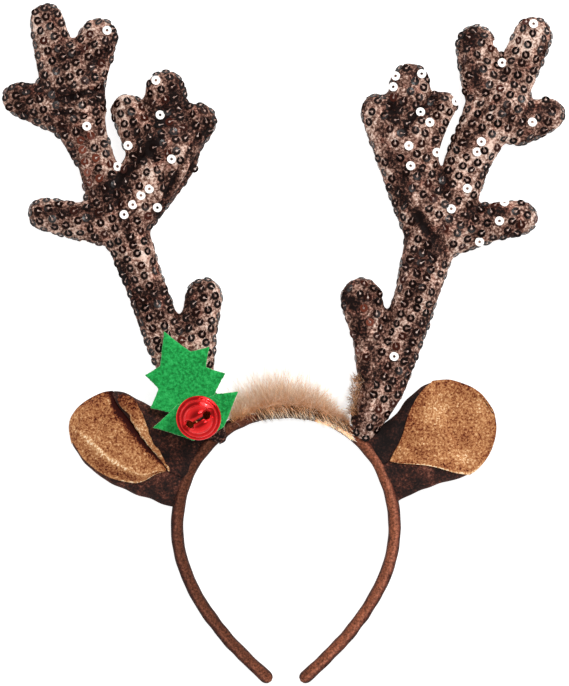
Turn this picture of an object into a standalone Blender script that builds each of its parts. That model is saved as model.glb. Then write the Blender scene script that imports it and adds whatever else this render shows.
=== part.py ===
# Reindeer antler headband, lying on its back.
# Metres. +X points to the right of someone looking at its front, +Y from the band's tips to the antlers,
# +Z out of its front. The origin is on the back of the band, in the middle of its crown.

import math

import bmesh
import bpy
import numpy as np
from mathutils import Matrix, Vector

# Clearance between pieces that meet
GAP = 0.0003

# Band: a padded strip bent into a loop that is open at the bottom
BAND_HALF_WIDTH = 0.0621      # middle to the strip's centre line, at the widest
BAND_CROWN_RISE = 0.0671      # widest place to the crown
BAND_LEG_DROP = 0.0868        # widest place to the end of the centre line
BAND_TIP_HALF_GAP = 0.0083    # middle to the end of the centre line
BAND_THICKNESS = 0.0072       # across the strip, toward the head
BAND_DEPTH = 0.0106           # front to back
CROWN_POWER = 2.1             # exponent of the crown's superellipse
LEG_POWER = 1.9               # how late the legs turn in
SECTION_POWER = 2.6           # how square the padded section is

# Antlers: two stuffed panels sewn together
ANTLER_HEIGHT = 0.246         # band to the top of the highest tine's middle line
ANTLER_REACH = 0.124          # foot to the outermost tine
TINE_RADIUS = 0.0105          # half the width of a plain tine
TINE_HALF_DEPTH = 0.0086      # half its thickness, front to back
STUFFING_SPREAD = 0.45        # how much thicker the wide places are
ANTLER_SEAT = 0.96            # middle line's height as a share of the half thickness: the back is pressed flat

# Ears: a folded cup of cloth with a lining
EAR_LENGTH = 0.0740           # band's centre line to the tip
EAR_LOBE_RADIUS = 0.0272      # round end
EAR_BASE_HALF = 0.0200        # half the width at the band
EAR_HALF_DEPTH = 0.0090       # half the height of the cup
EAR_CLOTH = 0.0012            # outer cloth
EAR_LINING = 0.0010           # lining cloth
EAR_TIP_FLATTENING = 25.0     # degrees that each side of the cup opens toward the tip

# Fur trim on the crown
FUR_HEIGHT = 0.0290           # longest lock above the band's centre line
FUR_LOCK_RADIUS = 0.0052      # root of a lock
FUR_TIP_RADIUS = 0.0022       # end of a lock
FUR_COVER = 0.0016            # backing in front of the band
FUR_BACKING_OUT = 0.0022      # backing's middle outward from the band's centre line
FUR_ROW_OFFSET = 0.0020       # every second lock leans forward, the others back

# Holly leaves
UPPER_LEAF_LENGTH = 0.0529    # bell's middle to the tip
LOWER_LEAF_LENGTH = 0.0270
UPPER_LEAF_HEADING = 112.3    # degrees from +X
LOWER_LEAF_HEADING = 192.4
LEAF_THICKNESS = 0.0018

# Jingle bell
BELL_RADIUS = 0.0106          # round shell
BELL_FLANGE_RADIUS = 0.0127   # outside of the bead where the halves meet
BELL_WALL = 0.0009
BELL_SLOT_WIDTH = 0.0015
BELL_HOLE_RADIUS = 0.0025
BELL_HOLE_SPACING = 0.0135    # between the round ends of the slot
BELL_FROM_FOOT = (-0.0110, 0.0100)  # bell's middle from the foot of the left antler
BELL_TURN = 29.0              # degrees that the slot is turned
BELL_TILT = 8.0               # degrees that the bell leans toward the band's tips
BELL_LOOP_RADIUS = 0.0021     # middle line of the loop that it is sewn on by
BELL_LOOP_WIRE = 0.0006       # radius of the loop's wire
PELLET_RADIUS = 0.0032

# Places along the band, as shares of its half width
LEFT_ANTLER_PLACE = -0.615
RIGHT_ANTLER_PLACE = 0.670
LEFT_EAR_PLACE = -0.905
RIGHT_EAR_PLACE = 0.870

# Mesh fineness
STRIP_POINTS = 49             # along the whole band
SECTION_SIDES = 12
BELL_SIDES = 20
BELL_RINGS = 12
CLOTH_VOXEL = 0.0018
FUR_VOXEL = 0.0021
SMOOTH_PASSES = 4
CLOTH_KEEP = 0.068            # share of the fused faces that are kept
FUR_KEEP = 0.45

# Middle line of each antler. Each row: share of the reach outward from the foot, share of the height,
# and radius as a share of the tine radius.
LEFT_ANTLER_POINTS = {
    "foot": (0.010, 0.004, 0.72),
    "ankle": (0.070, 0.052, 1.00),
    "root": (0.138, 0.115, 1.32),
    "shin": (0.257, 0.231, 1.13),
    "beam": (0.349, 0.359, 1.11),
    "fork": (0.437, 0.484, 1.32),
    "spur_root": (0.097, 0.236, 1.05),
    "spur": (0.069, 0.319, 1.06),
    "brow_root": (0.639, 0.493, 1.06),
    "brow": (0.804, 0.511, 0.94),
    "neck": (0.533, 0.574, 1.11),
    "bend": (0.565, 0.637, 1.08),
    "rise": (0.611, 0.683, 1.21),
    "crown": (0.653, 0.743, 1.54),
    "rear_root": (0.800, 0.762, 1.21),
    "rear": (0.924, 0.778, 0.92),
    "top_root": (0.722, 0.810, 1.21),
    "top_bend": (0.768, 0.903, 1.08),
    "top": (0.791, 0.960, 0.96),
    "fore_root": (0.630, 0.822, 1.32),
    "fore": (0.554, 0.920, 1.11),
    "palm_root": (0.317, 0.590, 1.76),
    "palm": (0.248, 0.657, 1.98),
    "middle_root": (0.248, 0.713, 1.13),
    "middle": (0.246, 0.796, 1.16),
    "inner_root": (0.363, 0.685, 1.08),
    "inner": (0.423, 0.752, 0.92),
    "outer_root": (0.161, 0.685, 1.12),
    "outer": (0.094, 0.726, 1.04),
}
LEFT_ANTLER_BRANCHES = (
    ("foot", "ankle", "root", "shin", "beam", "fork", "neck", "bend", "rise", "crown"),
    ("root", "spur_root", "spur"),
    ("fork", "brow_root", "brow"),
    ("crown", "rear_root", "rear"),
    ("crown", "top_root", "top_bend", "top"),
    ("crown", "fore_root", "fore"),
    ("fork", "palm_root", "palm", "middle_root", "middle"),
    ("palm", "inner_root", "inner"),
    ("palm", "outer_root", "outer"),
)
RIGHT_ANTLER_POINTS = {
    "foot": (0.018, 0.018, 0.66),
    "ankle": (0.046, 0.062, 1.04),
    "root": (0.106, 0.127, 1.32),
    "shin": (0.198, 0.232, 1.19),
    "beam": (0.271, 0.347, 1.24),
    "fork": (0.336, 0.473, 1.49),
    "spur_root": (0.055, 0.236, 1.02),
    "spur": (0.011, 0.326, 1.21),
    "brow_root": (0.602, 0.503, 1.08),
    "brow": (0.739, 0.514, 1.00),
    "palm_root": (0.230, 0.630, 1.60),
    "palm": (0.221, 0.690, 1.98),
    "middle_root": (0.230, 0.746, 1.13),
    "middle": (0.234, 0.826, 1.14),
    "inner_root": (0.317, 0.716, 0.98),
    "inner": (0.383, 0.772, 0.89),
    "outer_root": (0.133, 0.707, 1.12),
    "outer": (0.087, 0.761, 1.00),
    "neck": (0.460, 0.586, 1.27),
    "bend": (0.501, 0.649, 1.27),
    "rise": (0.570, 0.723, 1.43),
    "crown": (0.641, 0.776, 1.71),
    "rear_root": (0.731, 0.730, 1.19),
    "rear": (0.871, 0.754, 0.95),
    "top_root": (0.575, 0.822, 1.27),
    "top": (0.538, 0.914, 1.14),
    "fore_root": (0.703, 0.822, 1.11),
    "fore": (0.799, 0.935, 1.11),
}
RIGHT_ANTLER_BRANCHES = (
    ("foot", "ankle", "root", "shin", "beam", "fork", "neck", "bend", "rise", "crown"),
    ("root", "spur_root", "spur"),
    ("fork", "brow_root", "brow"),
    ("crown", "rear_root", "rear"),
    ("crown", "top_root", "top"),
    ("crown", "fore_root", "fore"),
    ("fork", "palm_root", "palm", "middle_root", "middle"),
    ("palm", "inner_root", "inner"),
    ("palm", "outer_root", "outer"),
)

# Ears: the direction of the middle line above the outward direction, the shares of the length where the
# upper and the lower flap's edge reach the outline, and the lobe's share of the lobe radius.
LEFT_EAR = {"place": LEFT_EAR_PLACE, "rise": 29.0, "upper_open": 0.70, "lower_open": 0.42, "lobe": 0.95}
RIGHT_EAR = {"place": RIGHT_EAR_PLACE, "rise": 32.0, "upper_open": 0.72, "lower_open": 0.53, "lobe": 1.04}
FLAPS_MEET = 0.09             # share of the length where the two edges part
EAR_STATIONS = (              # share of the length, half width from base to lobe, height of the cup
    {"along": 0.03, "spread": 0.00, "depth": 0.62},
    {"along": 0.10, "spread": 0.08, "depth": 0.70},
    {"along": 0.18, "spread": 0.24, "depth": 0.80},
    {"along": 0.28, "spread": 0.48, "depth": 0.92},
    {"along": 0.38, "spread": 0.72, "depth": 1.00},
    {"along": 0.48, "spread": 0.92, "depth": 1.00},
    {"along": 0.58, "spread": 1.00, "depth": 0.94},
    {"along": 0.68, "spread": 1.00, "depth": 0.84},
    {"along": 0.77, "spread": 1.00, "depth": 0.72},
    {"along": 0.85, "spread": 1.00, "depth": 0.58},
    {"along": 0.92, "spread": 1.00, "depth": 0.44},
    {"along": 0.97, "spread": 1.00, "depth": 0.32},
    {"along": 0.99, "spread": 1.00, "depth": 0.26},
)
EAR_SECTION_POINTS = 13       # between the hems
EAR_HEM = 0.025               # share of a section that the lining leaves bare at each edge
LINING_FIRST_STATION = 2

# Fur locks: share of the way from the left end to the right end, length, and lean to the right in degrees
FUR_LOCKS = (
    {"place": 0.00, "length": 0.66, "lean": -16},
    {"place": 0.10, "length": 0.84, "lean": -11},
    {"place": 0.20, "length": 0.93, "lean": -6},
    {"place": 0.30, "length": 1.00, "lean": -3},
    {"place": 0.40, "length": 0.99, "lean": 1},
    {"place": 0.50, "length": 0.94, "lean": 4},
    {"place": 0.60, "length": 0.86, "lean": 6},
    {"place": 0.70, "length": 0.80, "lean": 9},
    {"place": 0.80, "length": 0.70, "lean": 12},
    {"place": 0.90, "length": 0.50, "lean": 16},
    {"place": 1.00, "length": 0.34, "lean": 20},
)

# Holly leaves: the points of each outline, across and along its middle line, as shares of the length from
# the bell's middle to the leaf's tip. Every edge between two points sinks inward a little.
UPPER_LEAF_POINTS = (
    (0.00, 1.00), (0.18, 0.69), (0.39, 0.66), (0.27, 0.47), (0.44, 0.33), (0.26, 0.18), (0.19, 0.06),
    (0.02, -0.05), (-0.14, 0.06), (-0.45, 0.29), (-0.29, 0.45), (-0.37, 0.64), (-0.18, 0.67), (-0.10, 0.82),
)
LOWER_LEAF_POINTS = (
    (0.00, 1.00), (0.36, 0.39), (0.39, 0.19), (0.35, -0.19), (0.41, -0.44), (0.36, -0.92), (-0.11, -0.61),
    (-0.31, -0.46), (-0.40, -0.20), (-0.45, 0.23), (-0.25, 0.55),
)
EDGE_SINK = 0.015             # depth of an edge's curve as a share of the edge
EDGE_STEPS = 3


# Scene helpers

def clear_scene():
    for thing in list(bpy.data.objects):
        bpy.data.objects.remove(thing, do_unlink=True)


def new_collection(name):
    collection = bpy.data.collections.new(name)
    bpy.context.scene.collection.children.link(collection)
    return collection


def new_material(name, colour, roughness, metallic=0.0):
    material = bpy.data.materials.new(name)
    material.use_nodes = True
    material.diffuse_color = (*colour, 1.0)
    shader = material.node_tree.nodes["Principled BSDF"]
    shader.inputs["Base Color"].default_value = (*colour, 1.0)
    shader.inputs["Roughness"].default_value = roughness
    shader.inputs["Metallic"].default_value = metallic
    return material


def add_object(name, data, collection, material=None):
    thing = bpy.data.objects.new(name, data)
    collection.objects.link(thing)
    if material is not None:
        data.materials.append(material)
    return thing


def add_cutter(name, data, collection):
    cutter = add_object(name, data, collection)
    cutter.hide_render = True
    cutter.display_type = "WIRE"
    return cutter


def finished_mesh(thing):
    # The mesh that an object's modifiers or its curve give, with loose caps welded on
    bpy.context.view_layer.update()
    graph = bpy.context.evaluated_depsgraph_get()
    mesh = bpy.data.meshes.new_from_object(thing.evaluated_get(graph))
    work = bmesh.new()
    work.from_mesh(mesh)
    bmesh.ops.remove_doubles(work, verts=work.verts, dist=1e-6)
    bmesh.ops.recalc_face_normals(work, faces=work.faces)
    work.to_mesh(mesh)
    work.free()
    return mesh


def cut(target, cutter, operation="DIFFERENCE"):
    boolean = target.modifiers.new(operation.lower() + "_" + cutter.name, "BOOLEAN")
    boolean.operation = operation
    boolean.solver = "EXACT"
    boolean.object = cutter
    return boolean


def clearance_cutter(thing, clearance, guides):
    # A thing's own form, thicker all round by the clearance
    cutter = add_cutter(thing.name + "_clearance", finished_mesh(thing), guides)
    grow = cutter.modifiers.new("grow", "DISPLACE")
    grow.strength = clearance
    grow.mid_level = 0.0
    return cutter


# Band

def band_half_line():
    # Points of the strip's centre line from the crown to the right tip, close together.
    # The crown is a superellipse's quarter and each leg turns in as a power of its drop.
    turn = np.linspace(0.0, math.pi / 2, 200)
    crown_x = BAND_HALF_WIDTH * np.sin(turn) ** (2 / CROWN_POWER)
    crown_y = BAND_CROWN_RISE * (np.cos(turn) ** (2 / CROWN_POWER) - 1)
    drop = np.linspace(0.0, 1.0, 200)[1:]
    leg_x = BAND_HALF_WIDTH + (BAND_TIP_HALF_GAP - BAND_HALF_WIDTH) * drop ** LEG_POWER
    leg_y = -BAND_CROWN_RISE - BAND_LEG_DROP * drop
    return np.concatenate([crown_x, leg_x]), np.concatenate([crown_y, leg_y])


def band_line():
    # Points of the whole centre line from the left tip over the crown to the right tip, with the strip's
    # share of its full width at each. They are evenly spaced, and closer where the tips are rounded.
    half_x, half_y = band_half_line()
    line_x = np.concatenate([-half_x[:0:-1], half_x])
    line_y = np.concatenate([half_y[:0:-1], half_y])
    steps = np.hypot(np.diff(line_x), np.diff(line_y))
    travel = np.concatenate([[0.0], np.cumsum(steps)])
    tip_turn = np.radians([15.0, 35.0, 60.0])
    tip = BAND_THICKNESS / 2 * (1 - np.cos(tip_turn))
    straight = np.linspace(BAND_THICKNESS / 2, travel[-1] - BAND_THICKNESS / 2, STRIP_POINTS)
    wanted = np.concatenate([tip, straight, travel[-1] - tip[::-1]])
    share = np.concatenate([np.sin(tip_turn), np.ones(STRIP_POINTS), np.sin(tip_turn[::-1])])
    return np.interp(wanted, travel, line_x), np.interp(wanted, travel, line_y), share


def band_point(place):
    # Point of the crown's centre line at a share of the half width
    half = abs(place)
    height = (1 - half ** CROWN_POWER) ** (1 / CROWN_POWER)
    return Vector((place * BAND_HALF_WIDTH, BAND_CROWN_RISE * (height - 1), 0.0))


def section_curve(grow):
    # Superellipse around the middle of the strip, with an edge along its back and its front
    section = bpy.data.curves.new("strip_section", "CURVE")
    section.dimensions = "2D"
    section.fill_mode = "NONE"
    spline = section.splines.new("POLY")
    spline.points.add(SECTION_SIDES - 1)
    spline.use_cyclic_u = True
    half_thick = BAND_THICKNESS / 2 + grow
    half_deep = BAND_DEPTH / 2 + grow
    flat = math.sin(math.pi / 2 - math.pi / SECTION_SIDES) ** (2 / SECTION_POWER)
    for number in range(SECTION_SIDES):
        angle = (number + 0.5) * 2 * math.pi / SECTION_SIDES
        across = math.copysign(abs(math.cos(angle)) ** (2 / SECTION_POWER), math.cos(angle))
        deep = math.copysign(abs(math.sin(angle)) ** (2 / SECTION_POWER), math.sin(angle))
        spline.points[number].co = (across * half_thick, deep * half_deep / flat, 0.0, 1.0)
    return section


def strip_mesh(name, grow, guides):
    # The band's strip, thicker all round by grow, with round tips
    profile = add_cutter(name + "_section", section_curve(grow), guides)
    curve = bpy.data.curves.new(name, "CURVE")
    curve.dimensions = "3D"
    curve.twist_mode = "Z_UP"
    curve.bevel_mode = "OBJECT"
    curve.bevel_object = profile
    curve.use_fill_caps = True
    xs, ys, shares = band_line()
    spline = curve.splines.new("POLY")
    spline.points.add(len(xs) - 1)
    for number, point in enumerate(spline.points):
        point.co = (xs[number], ys[number], BAND_DEPTH / 2, 1.0)
        point.radius = shares[number]
    holder = add_object(name + "_curve", curve, guides)
    mesh = finished_mesh(holder)
    bpy.data.objects.remove(holder, do_unlink=True)
    bpy.data.objects.remove(profile, do_unlink=True)
    mesh.name = name
    return mesh


def build_band(collection, guides):
    mesh = strip_mesh("headband", 0.0, guides)
    velvet = new_material("brown_velvet", (0.085, 0.032, 0.018), 0.85)
    add_object("headband", mesh, collection, velvet)


# Stuffed and furry pieces are grown from limbs: hulls around two flattened balls

def ball_points(centre, radius, half_depth, around=12, rings=7):
    points = []
    for ring in range(1, rings):
        slope = math.pi * ring / rings - math.pi / 2
        for step in range(around):
            turn = 2 * math.pi * step / around
            points.append((
                centre[0] + radius * math.cos(slope) * math.cos(turn),
                centre[1] + radius * math.cos(slope) * math.sin(turn),
                centre[2] + half_depth * math.sin(slope),
            ))
    points.append((centre[0], centre[1], centre[2] - half_depth))
    points.append((centre[0], centre[1], centre[2] + half_depth))
    return points


def limb(work, start, end):
    # Hull around two balls, each given as its centre, radius and half depth
    hull = bmesh.new()
    for centre, radius, half_depth in (start, end):
        for point in ball_points(centre, radius, half_depth):
            hull.verts.new(point)
    result = bmesh.ops.convex_hull(hull, input=hull.verts)
    inside = [part for part in result["geom_interior"] if isinstance(part, bmesh.types.BMVert)]
    bmesh.ops.delete(hull, geom=inside, context="VERTS")
    spare = bpy.data.meshes.new("limb")
    hull.to_mesh(spare)
    hull.free()
    work.from_mesh(spare)
    bpy.data.meshes.remove(spare)


def fused_object(name, work, voxel, keep, collection, material):
    # Fuses overlapping limbs into one skin, smooths it and thins its mesh
    mesh = bpy.data.meshes.new(name)
    work.to_mesh(mesh)
    work.free()
    thing = add_object(name, mesh, collection, material)
    fuse = thing.modifiers.new("fuse", "REMESH")
    fuse.mode = "VOXEL"
    fuse.voxel_size = voxel
    smooth = thing.modifiers.new("smooth", "SMOOTH")
    smooth.factor = 0.5
    smooth.iterations = SMOOTH_PASSES
    thin = thing.modifiers.new("thin", "DECIMATE")
    thin.decimate_type = "COLLAPSE"
    thin.ratio = keep
    return thing


# Antlers

def antler_ball(points, name, side, anchor):
    out_share, up_share, radius_share = points[name]
    half_depth = TINE_HALF_DEPTH * radius_share ** STUFFING_SPREAD
    radius = TINE_RADIUS * radius_share
    middle = (
        anchor.x + side * out_share * ANTLER_REACH,
        anchor.y + up_share * ANTLER_HEIGHT,
        half_depth * ANTLER_SEAT,
    )
    return middle, radius, half_depth


def build_antler(name, place, points, branches, collection, cutters, material):
    side = math.copysign(1.0, place)
    anchor = band_point(place)
    work = bmesh.new()
    for branch in branches:
        for start, end in zip(branch, branch[1:]):
            limb(work, antler_ball(points, start, side, anchor), antler_ball(points, end, side, anchor))
    antler = fused_object(name, work, CLOTH_VOXEL, CLOTH_KEEP, collection, material)
    cut(antler, cutters["strip"])
    cut(antler, cutters["below"])
    return antler


# Ears

def rim_angle(along, open_at, half_width):
    # Angle from the back of the section to its edge: the edges meet at half a turn and part evenly until
    # they reach the outline at a quarter turn, then the cup flattens to the tip
    if along < open_at:
        apart = max((along - FLAPS_MEET) / (open_at - FLAPS_MEET), 0.0)
        least = (EAR_CLOTH + 4 * GAP) / half_width
        return math.pi - math.asin(min(max(apart, least), 1.0))
    flat = (along - open_at) / (1 - open_at)
    return math.radians(90 - EAR_TIP_FLATTENING * flat)


def ear_row(ear, station):
    # One section: points from the lower edge round the back to the upper edge, in the ear's own frame.
    # The first and the last step are the narrow hem that the lining leaves bare.
    along = station["along"]
    spread = station["spread"]
    lobe = EAR_LOBE_RADIUS * ear["lobe"]
    half = EAR_BASE_HALF + (lobe - EAR_BASE_HALF) * spread
    past = max(along * EAR_LENGTH - EAR_LENGTH + lobe, 0.0)
    half *= math.sqrt(1 - (past / lobe) ** 2)
    deep = EAR_HALF_DEPTH * station["depth"]
    lower = rim_angle(along, ear["lower_open"], half)
    upper = rim_angle(along, ear["upper_open"], half)
    row = []
    for share in [0.0] + list(np.linspace(EAR_HEM, 1 - EAR_HEM, EAR_SECTION_POINTS)) + [1.0]:
        angle = -lower + (lower + upper) * share
        limit = lower if angle < 0 else upper
        reach = math.sin(min(limit, math.pi / 2))
        row.append((along * EAR_LENGTH, half * math.sin(angle) / reach, deep - deep * math.cos(angle)))
    return row


def cloth_object(name, rows, thickness, inset, collection, material):
    # A grid of points made into cloth, which starts at the inset from the grid and thickens inward
    work = bmesh.new()
    grid = [[work.verts.new(point) for point in row] for row in rows]
    for low, high in zip(grid, grid[1:]):
        for number in range(len(low) - 1):
            work.faces.new((low[number], low[number + 1], high[number + 1], high[number]))
    mesh = bpy.data.meshes.new(name)
    work.to_mesh(mesh)
    work.free()
    thing = add_object(name, mesh, collection, material)
    cloth = thing.modifiers.new("cloth", "SOLIDIFY")
    cloth.thickness = thickness
    cloth.offset = -1 - 2 * inset / thickness
    cloth.use_even_offset = True
    return thing


def place_ear(thing, ear):
    side = math.copysign(1.0, ear["place"])
    anchor = band_point(ear["place"])
    turn = math.radians(ear["rise"])
    outward = Vector((side * math.cos(turn), math.sin(turn), 0.0))
    across = Vector((-side * math.sin(turn), math.cos(turn), 0.0))
    frame = Matrix((
        (outward.x, across.x, 0.0, anchor.x),
        (outward.y, across.y, 0.0, anchor.y),
        (0.0, 0.0, 1.0, 0.0),
        (0.0, 0.0, 0.0, 1.0),
    ))
    thing.data.transform(frame)
    if side < 0:
        thing.data.flip_normals()


def build_ear(name, ear, antler, collection, cutters, velvet, satin):
    rows = [ear_row(ear, station) for station in EAR_STATIONS]
    outer = cloth_object(name + "_outer", rows, EAR_CLOTH, 0.0, collection, velvet)
    place_ear(outer, ear)
    cut(outer, cutters["strip"])
    cut(outer, clearance_cutter(antler, 2 * GAP, cutters["guides"]))
    lined = [row[1:-1] for row in rows[LINING_FIRST_STATION:-1]]
    lining = cloth_object(name + "_lining", lined, EAR_LINING, EAR_CLOTH + GAP, collection, satin)
    place_ear(lining, ear)


# Fur trim

def build_fur(collection, cutters, material):
    clear = TINE_RADIUS + FUR_LOCK_RADIUS + 3 * GAP
    left = LEFT_ANTLER_PLACE * BAND_HALF_WIDTH + clear
    right = RIGHT_ANTLER_PLACE * BAND_HALF_WIDTH - clear
    middle = BAND_DEPTH / 2 + FUR_COVER / 2
    backing_deep = BAND_DEPTH / 2 + FUR_COVER
    work = bmesh.new()
    roots = []
    for lock in FUR_LOCKS:
        root = band_point((left + (right - left) * lock["place"]) / BAND_HALF_WIDTH)
        root.z = middle
        root.y += FUR_BACKING_OUT
        roots.append(root)
    half_thick = (BAND_THICKNESS + FUR_COVER) / 2
    for start, end in zip(roots, roots[1:]):
        limb(work, (start, half_thick, backing_deep), (end, half_thick, backing_deep))
    for number, (lock, root) in enumerate(zip(FUR_LOCKS, roots)):
        lean = math.radians(lock["lean"])
        length = FUR_HEIGHT * lock["length"] - FUR_TIP_RADIUS
        sway = FUR_ROW_OFFSET if number % 2 else -FUR_ROW_OFFSET
        low = root + Vector((0.0, 0.0, sway))
        tip = low + Vector((length * math.sin(lean), length * math.cos(lean), sway))
        limb(work, (low, FUR_LOCK_RADIUS, FUR_LOCK_RADIUS), (tip, FUR_TIP_RADIUS, FUR_TIP_RADIUS))
    fur = fused_object("fur_trim", work, FUR_VOXEL, FUR_KEEP, collection, material)
    cut(fur, cutters["strip"])
    cut(fur, cutters["below"])


# Holly leaves

def leaf_outline(points):
    # Every edge between two points is an arc that sinks toward the leaf's middle
    outline = []
    centre = sum((Vector(point) for point in points), Vector((0.0, 0.0))) / len(points)
    for start, end in zip(points, points[1:] + points[:1]):
        start = Vector(start)
        chord = Vector(end) - start
        inward = Vector((-chord.y, chord.x))
        if inward.dot(centre - start) < 0:
            inward = -inward
        for step in range(EDGE_STEPS):
            share = step / EDGE_STEPS
            outline.append(start + chord * share + inward * EDGE_SINK * 4 * share * (1 - share))
    return outline


def leaf_object(name, points, base, length, heading, height, collection, material):
    # Felt cut to the outline. It lies flat with its back at the given height.
    curve = bpy.data.curves.new(name, "CURVE")
    curve.dimensions = "2D"
    curve.fill_mode = "BOTH"
    curve.extrude = LEAF_THICKNESS / 2
    outline = leaf_outline(points)
    spline = curve.splines.new("POLY")
    spline.points.add(len(outline) - 1)
    spline.use_cyclic_u = True
    turn = math.radians(heading)
    along = Vector((math.cos(turn), math.sin(turn)))
    across = Vector((math.sin(turn), -math.cos(turn)))
    for point, corner in zip(spline.points, outline):
        flat = base + (across * corner.x + along * corner.y) * length
        point.co = (flat.x, flat.y, 0.0, 1.0)
    holder = add_object(name + "_curve", curve, collection)
    mesh = finished_mesh(holder)
    bpy.data.objects.remove(holder, do_unlink=True)
    mesh.transform(Matrix.Translation((0.0, 0.0, height + LEAF_THICKNESS / 2)))
    return add_object(name, mesh, collection, material)


def front_height(things, centre, radius):
    # Highest point of the given objects within a radius of a place
    highest = 0.0
    for thing in things:
        mesh = finished_mesh(thing)
        for vertex in mesh.vertices:
            if (vertex.co.xy - centre).length < radius:
                highest = max(highest, vertex.co.z)
        bpy.data.meshes.remove(mesh)
    return highest


# Jingle bell

def ball_mesh(name, radius, around, rings):
    work = bmesh.new()
    bmesh.ops.create_uvsphere(work, u_segments=around, v_segments=rings, radius=radius)
    mesh = bpy.data.meshes.new(name)
    work.to_mesh(mesh)
    work.free()
    return mesh


def ring_mesh(name, middle_radius, wire_radius, around, sides):
    bpy.ops.mesh.primitive_torus_add(
        major_radius=middle_radius, minor_radius=wire_radius, major_segments=around, minor_segments=sides
    )
    ring = bpy.context.active_object
    mesh = ring.data
    mesh.name = name
    bpy.data.objects.remove(ring, do_unlink=True)
    return mesh


def slot_cutters(guides):
    # A straight slit through the front of the shell with a round hole at each end
    reach = 2 * BELL_RADIUS
    work = bmesh.new()
    size = Matrix.Diagonal((BELL_HOLE_SPACING, BELL_SLOT_WIDTH, reach, 1.0))
    bmesh.ops.create_cube(work, size=1.0, matrix=Matrix.Translation((0.0, 0.0, reach / 2)) @ size)
    slit = bpy.data.meshes.new("slit")
    work.to_mesh(slit)
    work.free()
    cutters = [add_cutter("bell_slit", slit, guides)]
    for side in (-1, 1):
        work = bmesh.new()
        place = Matrix.Translation((side * BELL_HOLE_SPACING / 2, 0.0, reach / 2))
        bmesh.ops.create_cone(
            work, cap_ends=True, segments=16, radius1=BELL_HOLE_RADIUS, radius2=BELL_HOLE_RADIUS,
            depth=reach, matrix=place
        )
        hole = bpy.data.meshes.new("hole")
        work.to_mesh(hole)
        work.free()
        cutters.append(add_cutter("bell_hole_" + str(len(cutters)), hole, guides))
    return cutters


def build_bell(centre, collection, guides, red, steel):
    # The shell is built around its own centre with its slot in front, then leaned and put in place
    bead = (BELL_FLANGE_RADIUS - BELL_RADIUS + BELL_WALL) / 2
    shell = add_object("bell_work", ball_mesh("bell", BELL_RADIUS, BELL_SIDES, BELL_RINGS), guides)
    flange = add_cutter("bell_bead", ring_mesh("bead", BELL_FLANGE_RADIUS - bead, bead, BELL_SIDES, 6), guides)
    loop = add_cutter("bell_loop", ring_mesh("loop", BELL_LOOP_RADIUS, BELL_LOOP_WIRE, 12, 6), guides)
    loop.data.transform(Matrix.Rotation(math.pi / 2, 4, "X"))
    loop.data.transform(Matrix.Translation((0.0, 0.0, -BELL_RADIUS - BELL_LOOP_RADIUS + BELL_LOOP_WIRE / 2)))
    hollow = add_cutter("bell_hollow", ball_mesh("hollow", BELL_RADIUS - BELL_WALL, BELL_SIDES, BELL_RINGS), guides)
    cut(shell, flange, "UNION")
    cut(shell, loop, "UNION")
    cut(shell, hollow)
    slots = slot_cutters(guides)
    for slot in slots:
        cut(shell, slot)
    mesh = finished_mesh(shell)
    for spare in [shell, flange, loop, hollow] + slots:
        bpy.data.objects.remove(spare, do_unlink=True)
    lean = Matrix.Rotation(math.radians(BELL_TILT), 4, "X")
    turn = Matrix.Rotation(math.radians(BELL_TURN), 4, "Z")
    mesh.transform(Matrix.Translation(centre) @ lean @ turn)
    mesh.name = "jingle_bell"
    add_object("jingle_bell", mesh, collection, red)
    pellet = ball_mesh("bell_pellet", PELLET_RADIUS, 12, 8)
    rest = BELL_RADIUS - BELL_WALL - PELLET_RADIUS - GAP
    pellet.transform(Matrix.Translation(centre - Vector((0.0, 0.0, rest))))
    add_object("bell_pellet", pellet, collection, steel)


# Ornament: leaves on the left antler's foot with the bell in front

def build_ornament(antler, collection, guides):
    felt = new_material("green_felt", (0.020, 0.400, 0.075), 0.9)
    red = new_material("red_metal", (0.80, 0.012, 0.018), 0.22, 0.9)
    steel = new_material("steel", (0.45, 0.45, 0.46), 0.35, 1.0)
    middle = band_point(LEFT_ANTLER_PLACE).xy + Vector(BELL_FROM_FOOT)
    heading = math.radians(UPPER_LEAF_HEADING)
    leaf_middle = middle + Vector((math.cos(heading), math.sin(heading))) * UPPER_LEAF_LENGTH / 2
    seat = front_height([antler], leaf_middle, UPPER_LEAF_LENGTH * 0.6) + GAP
    leaf_object(
        "holly_leaf_upper", UPPER_LEAF_POINTS, middle, UPPER_LEAF_LENGTH, UPPER_LEAF_HEADING, seat,
        collection, felt
    )
    seat += LEAF_THICKNESS + GAP
    leaf_object(
        "holly_leaf_lower", LOWER_LEAF_POINTS, middle, LOWER_LEAF_LENGTH, LOWER_LEAF_HEADING, seat,
        collection, felt
    )
    seat += LEAF_THICKNESS + GAP
    hang = BELL_RADIUS + 2 * BELL_LOOP_RADIUS + BELL_LOOP_WIRE / 2
    build_bell(Vector((middle.x, middle.y, seat + hang)), collection, guides, red, steel)


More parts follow.
